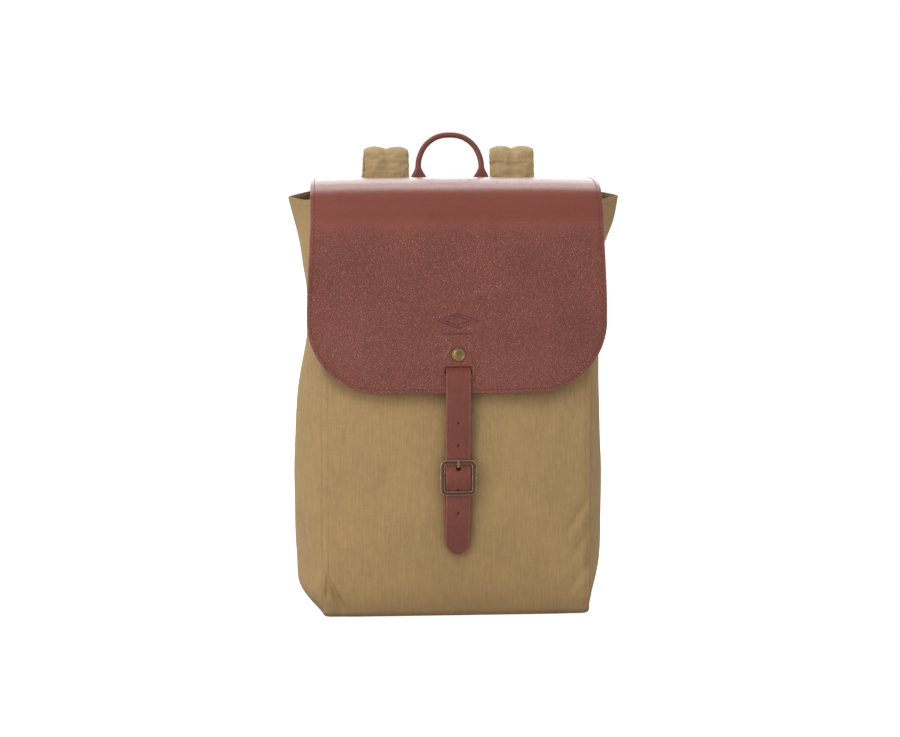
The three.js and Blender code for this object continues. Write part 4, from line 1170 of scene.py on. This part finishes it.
def hinge_strip(s, x):
    s = s + 0 * x
    out, z = np.moveaxis(hinge_path.at(s), -1, 0)
    cloth_y = back(x, np.minimum(z, RIM))[..., 1]
    droop = 2.5 * np.sin(PI * np.clip((s - 26) / 134, 0, 1)) * (x / FLAP_W) ** 4
    return points(x, lerp(cloth_y + 0.95, HINGE_Y, smooth(s, 14, 26)) + out, z - droop)


S, X = np.meshgrid(span(0, hinge_path.length, 60), span(3 - HALF_W, HALF_W - 3, 120))
strip = sheet("flap_hinge_strip", hinge_strip, S, X, 0.9, LEATHER)
strip_x = span(7 - HALF_W, HALF_W - 7, 160)
strip_seam = seam("flap_hinge_stitches", hinge_strip, hinge_path.length - 4, strip_x, 1, THREAD_DARK,
                  pitch=4.0, length=2.9, radius=0.34, lift=0.2)
blend("bag", "flap_top", (0, HINGE_Y, 404), (0, 42, 414), "leather", strip, strip_seam)

# ---------------------------------------------------------------- shoulder straps
ROOT_X = (box("strap_root_right")[0][0] + box("strap_root_right")[1][0]) / 2
pad_line = [(0, 48.9, 374), (0, 48.3, 390), (0, 48.2, 402), (0, 54.4, 418), (0, 59, 429), (0.1, 60.3, 432.4),
            (0.3, 64.8, 439.8), (0.6, 74.5, 442), (1.2, 84, 434.5), (3, 91, 410), (9, 94.5, 360),
            (18, 94.5, 310), (27, 90, 258), (34, 84, 214)]
pad_path = Path(arr(*pad_line) + arr(ROOT_X, 0, 0), 900)
PAD_L = pad_path.length
PAD_W, PAD_T = 21.6, 3.3
PAD_SIDES, PAD_RINGS = 72, 190
PAD_CHANNEL = (PAD_SIDES // 4, 3 * PAD_SIDES // 4)  # the sewn line along the middle of each face
PAD_ANGLES = turns(PAD_SIDES)
PAD_U, PAD_V = superellipse(PAD_ANGLES, 0.8, 0.7)
WEB_T, WEB_W = 1.4, 12.5
ROD = 1.5  # the loop's wire, half its thickness
WEB_EYE = ROD * math.sqrt(2) + 0.3 + WEB_T / 2
GAP, PLATE_T = 0.5, 1.1
MIRROR = Matrix.Diagonal((-1, 1, 1, 1))


def mirrored(o, side):
    if side < 0:
        o.data.transform(MIRROR)
        o.data.flip_normals()
    return o


def pad_frame(s):
    p, t = pad_path.at(s), pad_path.tangent(s, 3)
    across = unit(arr(1, 0, 0) - t * t[0])
    return p, across, np.cross(t, across)


def pad_ring(s, side, rng):
    """Points round the strap at length s, before the cloth swells between its seams.
    The cloth is gathered a little differently on each strap."""
    p, across, normal = pad_frame(s)
    puff = smooth(s, 30, 56)
    end = smooth(s, PAD_L - 48, PAD_L)
    wide = lerp(PAD_W, 14.5, end)
    thick = lerp(lerp(1.4, PAD_T, puff), 2.6, end)
    pinch = 1 - 0.55 * bump_at(PAD_U, 0, 0.16) * puff
    ring = p + across * (PAD_U * wide)[:, None] + normal * (PAD_V * pinch * thick)[:, None]
    crease = 0.35 * math.sin(s * 0.62 + 2.0 * math.sin(s * 0.13 + side)) + 0.2 * rng.standard_normal()
    near = bump_at(np.abs(PAD_U), 0.2, 0.15) + 0.6 * bump_at(np.abs(PAD_U), 0.93, 0.1)
    full = puff * (1 - smooth(s, PAD_L - 8, PAD_L))
    return ring + normal * (crease * near * np.sign(np.sin(PAD_ANGLES)) * full)[:, None]


def swell(o, held, cap, pressure=6.0, growth=-0.07, frames=20):
    """Lets the cloth swell between its sewn lines: a short simulation whose result is kept in the mesh."""
    count = len(o.data.vertices)
    rest, co = np.empty(count * 3), np.empty(count * 3)
    o.data.vertices.foreach_get("co", rest)
    group = o.vertex_groups.new(name="sewn")
    group.add([int(k) for k in held], 1.0, "REPLACE")
    mod = o.modifiers.new("swell", "CLOTH")
    c = mod.settings
    c.quality = 5
    c.use_pressure = True
    c.uniform_pressure_force = pressure
    c.shrink_min = growth
    c.bending_stiffness = 0.5
    c.effector_weights.gravity = 0
    c.vertex_group_mass = "sewn"
    mod.collision_settings.use_collision = False
    scene = bpy.context.scene
    for f in range(1, frames + 1):
        scene.frame_set(f)
    swollen = o.evaluated_get(bpy.context.evaluated_depsgraph_get()).data
    swollen.vertices.foreach_get("co", co)
    step = (co - rest).reshape(-1, 3)
    far = np.linalg.norm(step, axis=1, keepdims=True)
    step *= np.tanh(far / cap) * cap / np.maximum(far, 1e-9)
    o.modifiers.remove(mod)
    o.vertex_groups.remove(group)
    o.data.vertices.foreach_set("co", rest + step.ravel())
    o.data.update()
    scene.frame_set(1)


def shoulder_pad(side, name):
    """The padded cloth, the stitches of its two sewn lines and its foam."""
    ss = span(0, PAD_L, PAD_RINGS)
    rng = np.random.default_rng(60 + side)
    rings = [pad_ring(s, side, rng) for s in ss]
    last = rings[-1]
    mid, t_end = last.mean(0), pad_path.tangent(PAD_L)
    rings += [mid + (last - mid) * share + t_end * beyond for share, beyond in ((0.97, 0.8), (0.8, 0.4))]
    pad = mirrored(loft("shoulder_pad_%s_cloth" % name, rings, PAD_CANVAS), side)
    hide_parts("shoulder_pad_" + name, "strap_root_" + name)
    held = list(range(PAD_RINGS * PAD_SIDES, len(pad.data.vertices)))
    for i, s in enumerate(ss):
        whole = s < 34 or s > PAD_L - 5
        sewn = range(PAD_SIDES) if whole else (0, PAD_SIDES // 2, *PAD_CHANNEL)
        held += [i * PAD_SIDES + k for k in sewn]
    swell(pad, held, 0.0035)
    co = np.array([v.co[:] for v in pad.data.vertices[: PAD_RINGS * PAD_SIDES]]) / MM
    co = co.reshape(PAD_RINGS, PAD_SIDES, 3)
    flip = arr(side, 1, 1)
    normals = np.array([pad_frame(s)[2] for s in ss])
    sewn = (ss > 36) & (ss < PAD_L - 6)
    lines = []
    for face, k in ((-1, PAD_CHANNEL[1]), (1, PAD_CHANNEL[0])):
        out = normals[sewn] * flip * face
        lines.append(stitches("pad_seam", co[sewn, k], out, THREAD,
                              pitch=4.0, length=2.8, radius=0.32, lift=0.2))
    core = []
    for i in range(14, PAD_RINGS - 8):
        if ss[i] > 60:
            ring = co[i] * flip
            spread = ring - ring.mean(0)
            deep = (spread @ normals[i])[:, None] * normals[i]
            core.append(ring.mean(0) + 0.8 * (spread - deep) + 0.4 * deep)
    foam = mirrored(loft("pad_foam_%s_sheet" % name, core, FOAM), side)
    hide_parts("pad_foam_" + name)
    rounder = pad.modifiers.new("smooth", "SUBSURF")
    rounder.levels = rounder.render_levels = 1
    # the pad bends over its arch, with its foam inside
    arch_bend = ("bag", "shoulder_" + name, (side * ROOT_X, 55, 430), (side * ROOT_X, 79, 430))
    blend(*arch_bend, "canvas", pad, joined("shoulder_pad_%s_stitches" % name, *lines))
    blend(*arch_bend, "foam", foam)


def wire_loop(half_w, half_h, r, centre, size, y, title, **form):
    return band(title, rounded_loop(half_w, half_h, r) + arr(0, centre), *size, y, BRASS, **form)


for side, name in ((-1, "left"), (1, "right")):
    shoulder_pad(side, name)

    # the webbing, in a frame whose z runs up it from the loop's lower bar
    up = unit(arr(*joints["slider_%s_slide" % name]["axis"]))
    origin = joint_at("shoulder_%s_swing" % name) - arr(0, 0, 9)
    across = unit(arr(1, 0, 0) - up * up[0])
    rear = np.cross(up, across)
    place = Matrix([[across[i], rear[i], up[i], origin[i] * MM] for i in range(3)] + [[0, 0, 0, 1]])
    top = (pad_path.at(PAD_L) * arr(side, 1, 1) - origin) @ up + 8
    a = span(0, -PI, 13)
    web = Path([(WEB_EYE, top), (WEB_EYE, 40), *zip(WEB_EYE * np.cos(a), 9 + WEB_EYE * np.sin(a)),
                (0.5 - WEB_EYE, 14), (WEB_EYE - WEB_T - 0.15, 22), (WEB_EYE - WEB_T - 0.05, 54)], 900)

    def webbing_face(s, x):
        s = s + 0 * x
        (y, z), (ty, tz) = (np.moveaxis(v, -1, 0) for v in (web.at(s), web.tangent(s)))
        out = WEB_T / 2 - 0.05
        return points(x, y + tz * out, z - ty * out)

    S, X = np.meshgrid(span(0, web.length, 230), span(-WEB_W, WEB_W, 27))
    along_web = np.stack([X, S], -1)
    cloth = sheet("webbing_%s_cloth" % name, webbing_face, S, X, WEB_T - 0.1, WEBBING, uv=along_web)
    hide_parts("webbing_" + name)
    bx, bz = polyline([(-9, 0), (9, 0), (9, 22), (-9, 22), (-9, 0), (9, 22), (9, 0), (-9, 22)], 16)
    web_seam = stitches("webbing_%s_stitches" % name, points(bx, WEB_EYE + WEB_T / 2, bz + 27),
                        points(0, 1, 0 * bx), THREAD, pitch=2.6, length=2.0, radius=0.28, lift=0.15)

    # the wire loop and the slider
    wire = wire_loop(15.5, 4.5, 2.6, 4.5, (ROD, ROD), 0.0, "lower_loop_%s_brass" % name, sharp=1.0)
    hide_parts("lower_loop_" + name)
    centre = (sum(box("slider_" + name)) / 2 - origin) @ up
    slider_w, front_y = WEB_W + 2.6, WEB_EYE + WEB_T / 2
    back_y = WEB_EYE - WEB_T / 2 - GAP - PLATE_T
    plate = wire_loop(slider_w, 9.5, 3.0, centre, (1.55, PLATE_T), front_y + GAP + PLATE_T, "slider_ring")
    bar = wire_loop(slider_w, 1.4, 1.3, centre, (0.9, PLATE_T), back_y, "slider_bar")
    post_y = span(back_y, front_y + 1.6, 7)
    posts = [tube("post", points(q * slider_w, post_y, centre), 1.5, BRASS) for q in (-1, 1)]
    slider = joined("slider_%s_brass" % name, plate, bar, *posts)
    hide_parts("slider_" + name)
    for o in (cloth, web_seam, wire, slider):
        o.data.transform(place)
    blend("bag", "shoulder_" + name, origin + up * 14, origin + up * 62, "webbing", cloth, web_seam)
    ride("bag", "brass", wire)
    ride("slider_" + name, "brass", slider)

    # the leather tab that holds the loop
    tab_lo, tab_hi = box("anchor_tab_" + name)
    ly, lz = origin[1:]
    er = tab_hi[2] - lz
    a = span(0, PI, 13)
    tab_path = Path([(ly - er + 2.6, tab_lo[2] + 0.4), (ly - er + 2.7, lz - 12), (ly + er - 1.4, lz - 4.2),
                     *zip(ly + er * np.cos(a), lz + er * np.sin(a)),
                     (ly - er, lz - 10), (ly - er, tab_lo[2] + 0.4)])
    tab_face = folded(tab_path)
    tab_s, tab_x = span(0, tab_path.length, 90), span(tab_lo[0], tab_hi[0], 41)
    tab = skin("anchor_tab_" + name, "leather", tab_face, tab_s, tab_x, 1.22, STRAP_LEATHER, 1)
    ts, tx = polyline([(4, -9), (4, 9), (13, 9), (13, -9), (4, -9)], 12)
    tab_seam = seam("anchor_tab_%s_stitches" % name, tab_face, ts, tx + origin[0], 1, THREAD_DARK,
                    pitch=3.2, length=2.4, radius=0.3, lift=0.15)
    ride("bag", "leather", tab, tab_seam)


# ---------------------------------------------------------------- stage
def area(name, loc, target, size, power, glossy=True):
    light = bpy.data.lights.new(name, "AREA")
    light.shape = "RECTANGLE"
    light.size, light.size_y = size
    light.energy = power
    o = placed(name, light)
    o.location = loc
    o.rotation_euler = (Vector(target) - Vector(loc)).to_track_quat("-Z", "Y").to_euler()
    o.visible_glossy = glossy


def camera_glow(tree, strength, base, extra):
    """Drives a strength with base for all rays and extra more for the camera's own."""
    path = tree.nodes.new("ShaderNodeLightPath")
    total = tree.nodes.new("ShaderNodeMath")
    total.operation = "MULTIPLY_ADD"
    total.inputs[1].default_value = extra
    total.inputs[2].default_value = base
    tree.links.new(path.outputs["Is Camera Ray"], total.inputs[0])
    tree.links.new(total.outputs[0], strength)


WHITE = (1, 1, 1, 1)
floor_mat = bpy.data.materials.new("pale_floor")
floor_mat.use_nodes = True
paint = floor_mat.node_tree.nodes["Principled BSDF"].inputs
paint["Base Color"].default_value = (0.7, 0.7, 0.7, 1)
paint["Roughness"].default_value = 0.8
paint["Emission Color"].default_value = WHITE
camera_glow(floor_mat.node_tree, paint["Emission Strength"], 0.0, 0.8)
reach, below = 6, -0.0004
floor_mesh = bpy.data.meshes.new("floor")
corners = [(x * reach, y * reach, below) for x, y in ((-1, -1), (1, -1), (1, 1), (-1, 1))]
floor_mesh.from_pydata(corners, [], [(0, 1, 2, 3)])
floor_mesh.materials.append(floor_mat)
placed("floor", floor_mesh)

world = bpy.data.worlds.new("studio")
bpy.context.scene.world = world
world.use_nodes = True
sky = world.node_tree.nodes["Background"]
sky.inputs[0].default_value = WHITE
camera_glow(world.node_tree, sky.inputs[1], 0.54, 0.46)
bpy.context.scene.view_settings.view_transform = "Standard"
area("key", (-1.5, -1.7, 1.0), (0, 0, 0.2), (0.9, 0.9), 10)
area("upper", (-0.6, -1.3, 1.9), (0, 0, 0.2), (1.2, 0.8), 23, glossy=False)
area("over", (-0.2, 0.95, 1.9), (0, 0, 0.3), (1.9, 1.1), 16)
area("backdrop", (0.0, 2.4, 1.0), (0, 0, 0.35), (3.0, 1.4), 30)

camera = bpy.data.cameras.new("camera")
camera.sensor_width = 36.0
camera.lens = 90.0
cam = placed("camera", camera)
bpy.context.scene.camera = cam
azimuth, elevation, distance = math.radians(-3.4), math.radians(8.5), 2.2
flat = math.cos(elevation)
direction = Vector((math.sin(azimuth) * flat, -math.cos(azimuth) * flat, math.sin(elevation)))
cam.location = Vector((-0.003, 0.0, 0.2333)) + direction * distance
cam.rotation_mode = "QUATERNION"
cam.rotation_quaternion = (-direction).to_track_quat("-Z", "Y")
